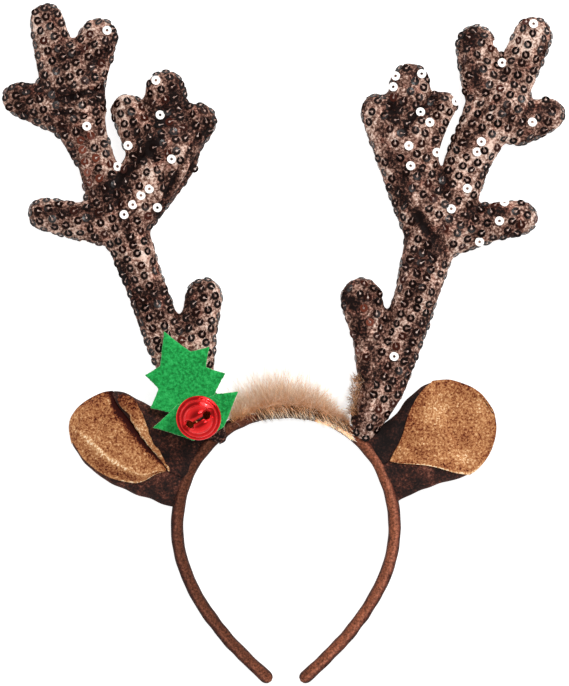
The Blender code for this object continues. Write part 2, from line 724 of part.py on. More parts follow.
def main():
    clear_scene()
    collection = new_collection("reindeer_antler_headband")
    guides = new_collection("cutters")
    build_band(collection, guides)
    strip = add_cutter("strip_clearance", strip_mesh("strip_clearance", GAP, guides), guides)
    work = bmesh.new()
    room = 4 * ANTLER_HEIGHT
    bmesh.ops.create_cube(work, size=room, matrix=Matrix.Translation((0.0, 0.0, -room / 2)))
    slab = bpy.data.meshes.new("below_surface")
    work.to_mesh(slab)
    work.free()
    cutters = {"strip": strip, "below": add_cutter("below_surface", slab, guides), "guides": guides}
    sequinned = new_material("sequinned_cloth", (0.190, 0.105, 0.082), 0.45, 0.2)
    velvet = new_material("dark_velvet", (0.030, 0.012, 0.009), 0.9)
    satin = new_material("tan_plush", (0.480, 0.205, 0.080), 0.6)
    plume = new_material("beige_fur", (0.720, 0.420, 0.260), 0.8)
    left = build_antler(
        "antler_left", LEFT_ANTLER_PLACE, LEFT_ANTLER_POINTS, LEFT_ANTLER_BRANCHES, collection, cutters, sequinned
    )
    right = build_antler(
        "antler_right", RIGHT_ANTLER_PLACE, RIGHT_ANTLER_POINTS, RIGHT_ANTLER_BRANCHES, collection, cutters,
        sequinned
    )
    build_ear("ear_left", LEFT_EAR, left, collection, cutters, velvet, satin)
    build_ear("ear_right", RIGHT_EAR, right, collection, cutters, velvet, satin)
    build_fur(collection, cutters, plume)
    build_ornament(left, collection, guides)


main()
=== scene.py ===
# Reindeer antler headband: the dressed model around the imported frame.
# Metres, in the frame's own axes: +X right, +Y up the antlers, +Z out of the front. It lies on its back.

import math

import bmesh
import bpy
import numpy as np
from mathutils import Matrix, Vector


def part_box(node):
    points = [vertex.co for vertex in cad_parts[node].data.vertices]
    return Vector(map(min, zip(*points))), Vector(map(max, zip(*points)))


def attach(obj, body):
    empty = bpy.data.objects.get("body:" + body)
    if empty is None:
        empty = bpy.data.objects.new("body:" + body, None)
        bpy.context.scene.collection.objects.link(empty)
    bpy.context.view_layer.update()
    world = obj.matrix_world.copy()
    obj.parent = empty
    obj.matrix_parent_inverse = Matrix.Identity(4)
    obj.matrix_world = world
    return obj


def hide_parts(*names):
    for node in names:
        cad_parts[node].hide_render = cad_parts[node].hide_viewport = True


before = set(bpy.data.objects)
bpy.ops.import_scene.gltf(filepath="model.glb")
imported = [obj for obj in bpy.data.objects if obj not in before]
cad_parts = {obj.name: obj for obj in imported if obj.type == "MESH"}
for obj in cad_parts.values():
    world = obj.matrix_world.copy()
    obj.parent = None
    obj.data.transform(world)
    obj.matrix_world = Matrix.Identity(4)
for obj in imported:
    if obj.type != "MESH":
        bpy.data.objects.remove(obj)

bpy.context.view_layer.update()


# Helpers for meshes

def unit(vectors):
    return vectors / np.maximum(np.linalg.norm(vectors, axis=-1, keepdims=True), 1e-12)


def gridQuads(rows, columns, wrap=False):
    # Faces between each row of points and the next; wrap joins the last column to the first
    index = np.arange(rows * columns).reshape(rows, columns)
    here = index if wrap else index[:, :-1]
    beside = np.roll(index, -1, axis=1) if wrap else index[:, 1:]
    return np.stack([here[:-1], beside[:-1], beside[1:], here[1:]], axis=-1).reshape(-1, 4)


def fan(pole, ring, turned=False):
    # Triangles between a pole and a ring of points
    after = np.roll(ring, -1)
    order = [np.full(len(ring), pole), after, ring] if turned else [np.full(len(ring), pole), ring, after]
    return np.stack(order, axis=-1)


def waves(points, size, seed, count=16):
    # Sum of sine waves in random directions, each about as long as size; it has a spread of about one
    draw = np.random.default_rng(seed)
    heading = unit(draw.normal(size=(count, points.shape[1])))
    length = size * draw.uniform(0.6, 1.7, count)
    phase = draw.uniform(0, 2 * math.pi, count)
    turns = heading * (2 * math.pi / length[:, None])
    return np.sin(points @ turns.T + phase).sum(1) / math.sqrt(count / 2)


def makePiece(name, points, faces, material, smooth=True, replaced=()):
    # A mesh from an array of points, kept above the floor, and one or more arrays of faces
    points = np.array(points, np.float32)
    points[:, 2] = np.maximum(points[:, 2], 0.00005)
    faces = [part for part in faces if len(part)]
    corners = np.concatenate([part.ravel() for part in faces]).astype(np.int32)
    sizes = np.concatenate([np.full(len(part), part.shape[1]) for part in faces])
    starts = np.concatenate([[0], np.cumsum(sizes)[:-1]]).astype(np.int32)
    mesh = bpy.data.meshes.new(name)
    mesh.vertices.add(len(points))
    mesh.vertices.foreach_set("co", points.ravel())
    mesh.loops.add(len(corners))
    mesh.loops.foreach_set("vertex_index", corners)
    mesh.polygons.add(len(sizes))
    mesh.polygons.foreach_set("loop_start", starts)
    mesh.polygons.foreach_set("use_smooth", np.full(len(sizes), smooth))
    mesh.update(calc_edges=True)
    mesh.materials.append(material)
    return addPiece(name, mesh, replaced)


def addPiece(name, mesh, replaced=()):
    piece = bpy.data.objects.new(name, mesh)
    bpy.context.scene.collection.objects.link(piece)
    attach(piece, "root")
    if replaced:
        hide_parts(*replaced)
    return piece


def storeValue(piece, name, values):
    # One number for each point of the mesh, for the materials
    attribute = piece.data.attributes.new(name, "FLOAT", "POINT")
    attribute.data.foreach_set("value", np.asarray(values, np.float32))


def meshPoints(mesh):
    points = np.empty(len(mesh.vertices) * 3, np.float32)
    mesh.vertices.foreach_get("co", points)
    return points.reshape(-1, 3).astype(float)


def meshNormals(mesh):
    normals = np.empty(len(mesh.vertices) * 3, np.float32)
    mesh.vertex_normals.foreach_get("vector", normals)
    return normals.reshape(-1, 3).astype(float)


def setPoints(mesh, points):
    mesh.vertices.foreach_set("co", np.asarray(points, np.float32).ravel())
    mesh.update()


def tallPrism(plan):
    # A plan of corners, counterclockwise from the front, carried through the part's whole depth
    count = len(plan)
    points = [(*corner, height) for height in (-0.01, 0.06) for corner in plan]
    sides = [(i, (i + 1) % count, (i + 1) % count + count, i + count) for i in range(count)]
    mesh = bpy.data.meshes.new("gap")
    mesh.from_pydata(points, [], [tuple(range(count))[::-1], tuple(range(count, 2 * count)), *sides])
    prism = bpy.data.objects.new("gap", mesh)
    bpy.context.scene.collection.objects.link(prism)
    return prism


def evenCopy(node, name, voxel, passes, gap=()):
    # The solid's own form, welded, opened along a gap's plan, cut into small even faces and smoothed
    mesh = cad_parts[node].data.copy()
    mesh.materials.clear()
    work = bmesh.new()
    work.from_mesh(mesh)
    bmesh.ops.remove_doubles(work, verts=work.verts, dist=1e-6)
    work.to_mesh(mesh)
    work.free()
    holder = bpy.data.objects.new(name + "_work", mesh)
    bpy.context.scene.collection.objects.link(holder)
    prism = tallPrism(gap) if gap else None
    if prism:
        opened = holder.modifiers.new("gap", "BOOLEAN")
        opened.operation = "DIFFERENCE"
        opened.object = prism
    remesh = holder.modifiers.new("even", "REMESH")
    remesh.mode = "VOXEL"
    remesh.voxel_size = voxel
    smooth = holder.modifiers.new("smooth", "SMOOTH")
    smooth.factor = 0.5
    smooth.iterations = passes
    graph = bpy.context.evaluated_depsgraph_get()
    even = bpy.data.meshes.new_from_object(holder.evaluated_get(graph))
    bpy.data.objects.remove(holder, do_unlink=True)
    bpy.data.meshes.remove(mesh)
    if prism:
        bpy.data.meshes.remove(prism.data)
    even.name = name
    even.polygons.foreach_set("use_smooth", np.full(len(even.polygons), True))
    even.update()
    return even


# Helpers for materials

def tone(red, green, blue):
    # A colour as it looks on a screen, made linear
    shown = np.array([red, green, blue]) / 255
    linear = np.where(shown <= 0.04045, shown / 12.92, ((shown + 0.055) / 1.055) ** 2.4)
    return (*[float(part) for part in linear], 1.0)


class Paint:
    # A material's node tree with short calls for the nodes used here

    def __init__(self, name, **values):
        self.material = bpy.data.materials.new(name)
        self.material.use_nodes = True
        self.tree = self.material.node_tree
        self.shader = self.tree.nodes["Principled BSDF"]
        for key, value in values.items():
            self.shader.inputs[key.replace("_", " ")].default_value = value

    def node(self, kind, **links):
        made = self.tree.nodes.new(kind)
        for key, value in links.items():
            self.feed(made.inputs[key.replace("_", " ")], value)
        return made

    def feed(self, socket, value):
        if isinstance(value, bpy.types.NodeSocket):
            self.tree.links.new(value, socket)
        else:
            socket.default_value = value

    def place(self):
        return self.node("ShaderNodeTexCoord").outputs["Object"]

    def value(self, name):
        read = self.node("ShaderNodeAttribute")
        read.attribute_name = name
        return read.outputs["Fac"]

    def noise(self, size, detail=4.0, rough=0.55):
        # Soft noise whose largest features are about size across
        made = self.node(
            "ShaderNodeTexNoise", Vector=self.place(), Scale=1 / size, Detail=detail, Roughness=rough
        )
        return made.outputs["Fac"]

    def ramp(self, factor, *stops):
        made = self.node("ShaderNodeValToRGB", Fac=factor)
        ends = made.color_ramp.elements
        for _ in range(len(stops) - 2):
            ends.new(0.5)
        for end, (position, colour) in zip(ends, stops):
            end.position = position
            end.color = colour if hasattr(colour, "__len__") else (colour, colour, colour, 1.0)
        return made.outputs["Color"]

    def mix(self, factor, first, second, blend="MIX"):
        made = self.tree.nodes.new("ShaderNodeMix")
        made.data_type = "RGBA"
        made.blend_type = blend
        self.feed(made.inputs[0], factor)
        self.feed(made.inputs[6], first)
        self.feed(made.inputs[7], second)
        return made.outputs[2]

    def sum(self, first, second, how="ADD"):
        made = self.tree.nodes.new("ShaderNodeMath")
        made.operation = how
        self.feed(made.inputs[0], first)
        self.feed(made.inputs[1], second)
        return made.outputs[0]

    def level(self, *parts):
        # Half, plus each part's distance from half times its weight
        total = 0.5 - sum(weight for _, weight in parts) / 2
        for socket, weight in parts:
            total = self.sum(self.sum(socket, weight, "MULTIPLY"), total)
        return total

    def bump(self, height, strength, distance):
        made = self.node("ShaderNodeBump", Height=height, Strength=strength, Distance=distance)
        self.feed(self.shader.inputs["Normal"], made.outputs["Normal"])

    def colour(self, socket):
        self.feed(self.shader.inputs["Base Color"], socket)


# Camera and lights

view = {"centre": (-0.00086, 0.0393), "plane": 0.010, "distance": 2.2, "pixel": 0.00057, "height": 686}
studio = {
    "zenith": 0.30, "horizon": 1.10, "dimFrom": 0.30, "dimTo": 0.95, "floorHalf": 4.0,
    "softFrom": (0.45, 0.60, 1.10), "softSize": 0.9, "softPower": 8.5,
    "sparkFrom": (0.62, 0.86, 1.70), "sparkSize": 0.18, "sparkPower": 8.0,
    "floorGlow": 0.87, "floorTone": 0.45,
}


def addLight(name, place, size, power):
    lamp = bpy.data.lights.new(name, "AREA")
    lamp.shape = "DISK"
    lamp.size = size
    lamp.energy = power
    light = bpy.data.objects.new(name, lamp)
    light.location = place
    light.rotation_mode = "QUATERNION"
    light.rotation_quaternion = (-Vector(place)).to_track_quat("-Z", "Y")
    bpy.context.scene.collection.objects.link(light)


def buildStudio():
    scene = bpy.context.scene
    lens = bpy.data.cameras.new("camera")
    lens.sensor_width = 36.0
    lens.lens = lens.sensor_width * (view["distance"] - view["plane"]) / (view["height"] * view["pixel"])
    lens.clip_start = 0.05
    lens.clip_end = 20.0
    camera = bpy.data.objects.new("camera", lens)
    camera.location = (*view["centre"], view["distance"])
    scene.collection.objects.link(camera)
    scene.camera = camera
    scene.view_settings.view_transform = "Standard"
    world = bpy.data.worlds.new("studio")
    scene.world = world
    world.use_nodes = True
    tree = world.node_tree
    heading = tree.nodes.new("ShaderNodeTexCoord")
    split = tree.nodes.new("ShaderNodeSeparateXYZ")
    ramp = tree.nodes.new("ShaderNodeMapRange")
    ramp.interpolation_type = "SMOOTHSTEP"
    ramp.inputs["From Min"].default_value = studio["dimFrom"]
    ramp.inputs["From Max"].default_value = studio["dimTo"]
    ramp.inputs["To Min"].default_value = studio["horizon"]
    ramp.inputs["To Max"].default_value = studio["zenith"]
    tree.links.new(heading.outputs["Generated"], split.inputs["Vector"])
    tree.links.new(split.outputs["Z"], ramp.inputs["Value"])
    tree.links.new(ramp.outputs["Result"], tree.nodes["Background"].inputs["Strength"])
    tree.nodes["Background"].inputs["Color"].default_value = (1.0, 0.99, 0.975, 1.0)
    addLight("soft_light", studio["softFrom"], studio["softSize"], studio["softPower"])
    addLight("spark_light", studio["sparkFrom"], studio["sparkSize"], studio["sparkPower"])
    paint = Paint(
        "pale_floor", Roughness=0.9, Base_Color=(*[studio["floorTone"]] * 3, 1.0),
        Emission_Color=(1.0, 1.0, 1.0, 1.0), Emission_Strength=studio["floorGlow"]
    )
    half = studio["floorHalf"]
    corners = [(-half, -half, 0.0), (half, -half, 0.0), (half, half, 0.0), (-half, half, 0.0)]
    mesh = bpy.data.meshes.new("floor")
    mesh.from_pydata(corners, [], [(0, 1, 2, 3)])
    mesh.materials.append(paint.material)
    floor = bpy.data.objects.new("floor", mesh)
    scene.collection.objects.link(floor)
    print("studio: camera, two lights and a pale floor")


# Band: padded strip in brown velvet

band = {
    "halfWidth": 0.0621, "crownRise": 0.0671, "legDrop": 0.0868, "tipHalfGap": 0.0083,
    "thickness": 0.0072, "depth": 0.0106, "crownPower": 2.1, "legPower": 1.9, "sectionPower": 2.6,
    "along": 520, "around": 44, "lump": 0.00012, "seamDepth": 0.0005,
    # Painted light and shade across the velvet, from the outer side to the inner side, each with its share of
    # the way across: dark at both edges, lightest about a third of the way in
    "paintedShadeTones": (
        (0.06, (40, 20, 16)), (0.20, (106, 56, 42)), (0.38, (158, 96, 73)), (0.60, (136, 78, 55)),
        (0.84, (124, 70, 49)), (0.97, (56, 30, 24)),
    ),
    # Painted light and shade along the velvet: how light it is at shares of the way from the left tip to the
    # right tip
    "lightAt": (0.0, 0.06, 0.30, 0.40, 0.50, 0.60, 0.72, 0.95, 1.0),
    "lightness": (0.70, 0.52, 0.42, 0.44, 0.62, 0.80, 1.05, 1.0, 0.75),
}


def bandPoints(places):
    # Points of the crown's centre line at shares of the half width: a superellipse's arc
    height = (1 - np.abs(places) ** band["crownPower"]) ** (1 / band["crownPower"])
    return np.stack([places * band["halfWidth"], band["crownRise"] * (height - 1), 0 * height], axis=-1)


def bandLine(count):
    # Even points of the centre line from the left tip over the crown to the right tip.
    # The crown is a superellipse's quarter and each leg turns in as a power of its drop.
    turn = np.linspace(0.0, math.pi / 2, 400)
    crownX = band["halfWidth"] * np.sin(turn) ** (2 / band["crownPower"])
    crownY = band["crownRise"] * (np.cos(turn) ** (2 / band["crownPower"]) - 1)
    drop = np.linspace(0.0, 1.0, 400)[1:]
    legX = band["halfWidth"] + (band["tipHalfGap"] - band["halfWidth"]) * drop ** band["legPower"]
    legY = -band["crownRise"] - band["legDrop"] * drop
    halfX = np.concatenate([crownX, legX])
    halfY = np.concatenate([crownY, legY])
    lineX = np.concatenate([-halfX[:0:-1], halfX])
    lineY = np.concatenate([halfY[:0:-1], halfY])
    travel = np.concatenate([[0.0], np.cumsum(np.hypot(np.diff(lineX), np.diff(lineY)))])
    wanted = np.linspace(0.0, travel[-1], count)
    return np.interp(wanted, travel, lineX), np.interp(wanted, travel, lineY), wanted


def velvetPaint():
    paint = Paint(
        "brown_velvet", Roughness=0.82, Specular_IOR_Level=0.15, Sheen_Weight=0.16, Sheen_Roughness=0.35,
        Sheen_Tint=tone(214, 130, 92)
    )
    # the ramp over the across value paints light and shade across the band
    across = paint.value("across")
    wobble = paint.sum(paint.noise(0.006, 3.0), 0.5, "SUBTRACT")
    across = paint.sum(across, paint.sum(wobble, 0.30, "MULTIPLY"))
    base = paint.ramp(across, *((place, tone(*shade)) for place, shade in band["paintedShadeTones"]))
    pile = paint.noise(0.0012, 2.0, 0.75)
    shade = paint.ramp(pile, (0.30, 0.30), (0.50, 0.92), (0.68, 1.75))
    base = paint.mix(1.0, base, shade, "MULTIPLY")
    # the lightness value paints shade along the band, darkest on the left leg
    paint.colour(paint.mix(1.0, base, paint.value("lightness"), "MULTIPLY"))
    paint.bump(pile, 0.6, 0.0007)
    return paint.material


def buildBand():
    # A superellipse section carried along the centre line; it shrinks to a round end at each tip
    count, around = band["along"], band["around"]
    lineX, lineY, travel = bandLine(count)
    tangent = unit(np.stack([np.gradient(lineX), np.gradient(lineY), np.zeros(count)], axis=-1))
    outward = np.stack([-tangent[:, 1], tangent[:, 0], np.zeros(count)], axis=-1)
    fromEnd = np.minimum(travel, travel[-1] - travel)
    short = np.clip(fromEnd / (band["thickness"] * 0.55), 0.0, 1.0)
    share = np.sqrt(np.maximum(1 - (1 - short) ** 2, 0.0)) + 1e-4
    angle = np.linspace(0, 2 * math.pi, around, endpoint=False)
    power = 2 / band["sectionPower"]
    wide = np.sign(np.cos(angle)) * np.abs(np.cos(angle)) ** power
    deep = np.sign(np.sin(angle)) * np.abs(np.sin(angle)) ** power
    across = share[:, None] * wide * band["thickness"] / 2
    height = band["depth"] / 2 * (1 + share[:, None] * deep)
    centre = np.stack([lineX, lineY, np.zeros(count)], axis=-1)
    points = centre[:, None] + outward[:, None] * across[..., None]
    points[..., 2] = height
    lump = waves(points.reshape(-1, 3), 0.009, 3).reshape(count, around) * band["lump"]
    seam = np.exp(-((np.degrees(angle) - 205) / 7) ** 2) * band["seamDepth"]
    push = (lump - seam) * share[:, None]
    points += (outward[:, None] * wide[..., None] + np.array([0, 0, 1.0]) * deep[:, None]) * push[..., None]
    points[..., 2] = np.maximum(points[..., 2], 0.00005)
    flat = points.reshape(-1, 3)
    first = len(flat)
    ends = np.stack([centre[0], centre[-1]])
    ends[:, 2] = band["depth"] / 2
    flat = np.concatenate([flat, ends])
    rings = np.arange(count * around).reshape(count, around)
    faces = [
        gridQuads(count, around, wrap=True)[:, ::-1], fan(first, rings[0]),
        fan(first + 1, rings[-1], turned=True)
    ]
    piece = makePiece("headband_velvet", flat, faces, velvetPaint(), replaced=["headband"])
    value = np.broadcast_to((1 - wide) / 2, (count, around)).ravel()
    storeValue(piece, "across", np.concatenate([value, [0.5, 0.5]]))
    # painted shade along the band, stored for the velvet's colour
    lightness = np.interp(travel / travel[-1], band["lightAt"], band["lightness"])
    storeValue(piece, "lightness", np.concatenate([np.repeat(lightness, around), lightness[[0, -1]]]))
    print("band:", len(piece.data.polygons), "faces")


# Antlers: stuffed cloth with sequins sewn on in rows

antlerCloth = {
    "voxel": 0.00115, "passes": 8, "slackPasses": 70, "fill": 0.00035, "seamDepth": 0.0004, "seamWidth": 0.20,
    "pucker": 0.00015, "fold": 0.00055, "dimple": 0.00022, "footPlace": -0.615,
    "black": (20, 10, 9), "deep": (56, 34, 28), "middle": (116, 82, 70), "light": (184, 150, 134),
    "glint": (236, 212, 198), "reddish": (128, 52, 40),
}
sequins = {
    "radius": 0.00236, "hole": 0.00092, "thickness": 0.00012, "cup": 0.00012, "sides": 16,
    "flashRadius": 0.00262, "flashHole": 0.00082, "sink": 0.0004,
    "alongPitch": 0.00605, "acrossPitch": 0.0066, "tineRadius": 0.0105, "tilt": 7.0, "jitter": 0.00030,
    "threadHigh": 0.00016, "knot": 0.00054, "tail": 0.0002,
}
# Folds on the front of each antler: both ends, depth and half width in metres
antlers = {
    "left": {
        "node": "antler_left", "lean": 18.0, "seed": 11, "lightness": 0.49,
        "folds": (
            ((-0.1310, 0.1770), (-0.1030, 0.1840), 0.0016, 0.0016),
            ((-0.1340, 0.1700), (-0.1090, 0.1690), 0.0012, 0.0014),
            ((-0.1240, 0.2000), (-0.1080, 0.2120), 0.0012, 0.0015),
            ((-0.0980, 0.1290), (-0.0700, 0.1560), 0.0010, 0.0022),
            ((-0.0745, 0.1125), (-0.0490, 0.1600), 0.0015, 0.0012),
            ((-0.0690, 0.1120), (-0.0440, 0.1570), 0.0012, 0.0010),
        ),
        # Dark places of painted shade: both ends, half width, depth of the shade, and whether sequins are left
        # out
        "shades": (
            ((-0.1459, 0.1824), (-0.1072, 0.1778), 0.0045, 0.40, False),
            ((-0.1015, 0.2092), (-0.1146, 0.1881), 0.0030, 0.40, False),
            ((-0.1334, 0.2263), (-0.1254, 0.2018), 0.0030, 0.35, False),
            ((-0.0627, 0.1864), (-0.0775, 0.1493), 0.0040, 0.40, False),
            ((-0.0775, 0.1493), (-0.0990, 0.1270), 0.0060, 0.50, False),
            ((-0.1414, 0.1140), (-0.1089, 0.1134), 0.0032, 0.42, False),
            ((-0.0718, 0.1180), (-0.0787, 0.0980), 0.0035, 0.30, False),
            ((-0.0470, 0.1590), (-0.0720, 0.1120), 0.0022, 0.30, True),
            ((-0.0950, 0.0800), (-0.0800, 0.0500), 0.0060, 0.30, False),
            ((-0.0560, -0.0030), (-0.0380, -0.0150), 0.0140, 0.35, True),
        ),
        "flashes": (
            (-0.1021, 0.2163), (-0.1126, 0.1623), (-0.0733, 0.1883), (-0.0713, 0.1692), (-0.0890, 0.1519),
            (-0.0640, 0.1434), (-0.0955, 0.1393), (-0.0771, 0.1267), (-0.0823, 0.1228), (-0.0871, 0.1182),
            (-0.0915, 0.1123), (-0.1146, 0.0963), (-0.0737, 0.1165),
        ),
        "bare": (-0.0600, -0.0035), "rusty": (-0.1111, 0.1420), "gap": (),
    },
    "right": {
        "node": "antler_right", "lean": -24.0, "seed": 23, "lightness": 0.57,
        "folds": (
            ((0.0620, 0.1260), (0.0880, 0.0930), 0.0012, 0.0024),
            ((0.0560, 0.1100), (0.0600, 0.0760), 0.0010, 0.0018),
            ((0.1250, 0.1800), (0.1050, 0.1650), 0.0012, 0.0016),
            ((0.0650, 0.1580), (0.0790, 0.1750), 0.0012, 0.0016),
        ),
        # dark places of painted shade, with the same columns as the left antler's
        "shades": (
            ((0.1047, 0.1997), (0.1114, 0.1830), 0.0030, 0.45, True),
            ((0.1022, 0.2139), (0.1081, 0.2064), 0.0035, 0.40, False),
            ((0.1357, 0.1713), (0.1524, 0.1747), 0.0035, 0.40, True),
            ((0.1231, 0.1730), (0.1314, 0.1646), 0.0032, 0.50, False),
            ((0.0604, 0.1747), (0.0663, 0.1596), 0.0045, 0.45, False),
            ((0.0529, 0.1596), (0.0671, 0.1304), 0.0045, 0.35, True),
            ((0.0764, 0.1110), (0.0918, 0.0900), 0.0055, 0.22, True),
            ((0.0700, 0.1230), (0.0800, 0.1050), 0.0040, 0.35, True),
            ((0.0880, 0.1345), (0.0946, 0.1237), 0.0045, 0.50, False),
            ((0.1064, 0.1162), (0.1231, 0.1146), 0.0030, 0.45, False),
            ((0.0673, 0.0980), (0.0600, 0.0600), 0.0035, 0.15, True),
            ((0.0430, 0.0700), (0.0560, 0.0050), 0.0130, 0.18, False),
            ((0.0365, 0.0638), (0.0496, 0.0308), 0.0036, 0.40, True),
            ((0.0450, 0.0257), (0.0410, -0.0029), 0.0060, 0.30, True),
        ),
        "flashes": (
            (0.1407, 0.2200), (0.1185, 0.2094), (0.1237, 0.1983), (0.0636, 0.1910), (0.0771, 0.1918),
            (0.0619, 0.1850), (0.0957, 0.1770), (0.0766, 0.1695), (0.0812, 0.1644), (0.0696, 0.1508),
            (0.0846, 0.1475), (0.1405, 0.1644), (0.1110, 0.1538), (0.1083, 0.1483), (0.0709, 0.1398),
            (0.1024, 0.1266), (0.0941, 0.1155), (0.1241, 0.1183), (0.1214, 0.1082), (0.0614, 0.0315),
            (0.1092, 0.0976),
        ),
        "bare": (0.0, -0.1), "rusty": (0.0420, 0.0450),
        # The narrow gap between the inner tines and the beam
        "gap": (
            (0.0981, 0.1790), (0.0976, 0.1736), (0.0931, 0.1650), (0.0902, 0.1579), (0.0876, 0.1508),
            (0.0866, 0.1450), (0.0885, 0.1372), (0.0903, 0.1436), (0.0925, 0.1508), (0.0958, 0.1579),
            (0.0990, 0.1650), (0.1010, 0.1721), (0.1020, 0.1790),
        ),
    },
}


def sequinClothPaint():
    paint = Paint("sequinned_cloth", Roughness=0.6, Specular_IOR_Level=0.08)
    patch = paint.noise(0.012, 3.0, 0.55)
    knit = paint.noise(0.0015, 2.0, 0.7)
    # the light value adds painted light and shade to the knit's tone
    level = paint.level((patch, 1.0), (knit, 1.9), (paint.value("light"), 0.75))
    # thin light threads run where a soft noise is close to its middle value
    away = paint.sum(paint.sum(paint.noise(0.0052, 2.0, 0.5), 0.5, "SUBTRACT"), 0.0, "ABSOLUTE")
    level = paint.sum(level, paint.ramp(away, (0.0, 0.20), (0.016, 0.0)))
    base = paint.ramp(
        level, (0.10, tone(*antlerCloth["black"])), (0.32, tone(*antlerCloth["deep"])),
        (0.54, tone(*antlerCloth["middle"])), (0.78, tone(*antlerCloth["light"])),
        (1.0, tone(*antlerCloth["glint"]))
    )
    blush = paint.ramp(paint.noise(0.006, 3.0, 0.6), (0.50, 0.0), (0.68, 0.6))
    paint.colour(paint.mix(blush, base, tone(*antlerCloth["reddish"]), "SOFT_LIGHT"))
    paint.bump(knit, 0.6, 0.0007)
    return paint.material


def sequinPaint():
    paint = Paint("sequin_plastic", Roughness=0.16, Specular_IOR_Level=0.10)
    paint.colour(paint.ramp(
        paint.value("tone"), (0.0, tone(9, 5, 5)), (0.50, tone(26, 12, 9)), (0.68, tone(64, 27, 19)),
        (0.86, tone(106, 52, 38)), (1.0, tone(132, 78, 64))
    ))
    return paint.material


def flashPaint():
    # Sequins that lie square to the lamp; their face is painted near-white, a painted glint that stays pale
    # from every side
    paint = Paint("painted_glint_sequin", Roughness=0.2, Specular_IOR_Level=0.06)
    haze = paint.noise(0.0015, 2.0)
    paint.colour(paint.ramp(haze, (0.30, tone(246, 240, 234)), (0.70, tone(255, 253, 250))))
    return paint.material


def threadPaint():
    paint = Paint("sequin_thread", Roughness=0.6)
    strand = paint.noise(0.0022, 3.0)
    paint.colour(paint.ramp(
        strand, (0.34, tone(104, 70, 60)), (0.50, tone(176, 142, 130)), (0.70, tone(236, 214, 204))
    ))
    paint.bump(strand, 0.4, 0.0002)
    return paint.material


def nearSegment(places, start, end):
    # Distance of each place from a segment, and the share of the way along it
    start, end = np.array(start), np.array(end)
    way = end - start
    share = np.clip(((places - start) @ way) / (way @ way), 0.0, 1.0)
    return np.linalg.norm(places - start - share[:, None] * way, axis=1), share


def dressCloth(antler, mesh, slack):
    # Moves the even copy's points along their normals: a seam with puckers where the two panels meet,
    # long soft folds, small dimples, and the named folds on the front. slack is a much smoother copy,
    # which stands out from the cloth in every hollow. The light value returned is painted light and shade:
    # darker in hollows, creases, at the seam along the sides and in the listed dark places, lighter on fold
    # crests.
    points, normals = meshPoints(mesh), meshNormals(mesh)
    hollow = ((meshPoints(slack) - points) * normals).sum(1) / 0.001
    seam = np.exp(-(normals[:, 2] / antlerCloth["seamWidth"]) ** 2)
    above = np.clip(points[:, 2] / 0.004, 0.0, 1.0)
    pucker = waves(points[:, :2], 0.0042, antler["seed"] + 1)
    lean = math.radians(antler["lean"])
    turned = np.stack([
        points[:, 0] * math.cos(lean) + points[:, 1] * math.sin(lean),
        (points[:, 1] * math.cos(lean) - points[:, 0] * math.sin(lean)) * 0.35, points[:, 2] * 0.7
    ], axis=-1)
    fold = waves(turned, 0.011, antler["seed"] + 2)
    dimple = waves(points, 0.0058, antler["seed"] + 3)
    push = antlerCloth["fill"] - seam * above * (antlerCloth["seamDepth"] - antlerCloth["pucker"] * pucker)
    push = push + normals[:, 2] ** 2 * (antlerCloth["fold"] * fold + antlerCloth["dimple"] * dimple)
    front = np.clip(normals[:, 2] * 2, 0.0, 1.0)
    crease = np.zeros(len(points))
    for start, end, depth, width in antler["folds"]:
        away, share = nearSegment(points[:, :2], start, end)
        taper = np.sqrt(np.maximum(4 * share * (1 - share), 0.05))
        groove = np.exp(-(away / width) ** 2) * depth * taper
        lip = np.exp(-((away - 1.9 * width) / width) ** 2) * depth * 0.35 * taper
        push -= (groove - lip) * front
        crease += (groove - 0.6 * lip) / depth * front
    # painted light and shade for the cloth's colour: lighter on fold crests, darker at the seam along the
    # sides, in creases and in hollows
    light = antler["lightness"] + 0.11 * fold + 0.07 * dimple - 0.45 * seam - 0.55 * crease
    light = light - 0.20 * np.clip(hollow, -0.4, 2.5) + 0.10 * waves(points, 0.032, antler["seed"] + 4)
    # painted shade along each listed dark place
    for start, end, width, depth, _ in antler["shades"]:
        light -= depth * np.exp(-(nearSegment(points[:, :2], start, end)[0] / width) ** 2) * front
    points += normals * push[:, None]
    points[:, 2] = np.maximum(points[:, 2], 0.00005)
    setPoints(mesh, points)
    return light


def spread(points, normals):
    # Where each point lies on the flat cloth: out from its plan by the arc that the stuffing takes up
    slope = np.clip(np.linalg.norm(normals[:, :2], axis=1), 1e-6, 1.0)
    spare = sequins["tineRadius"] * (np.arcsin(slope) - slope) / slope
    return points[:, :2] + normals[:, :2] * spare[:, None]


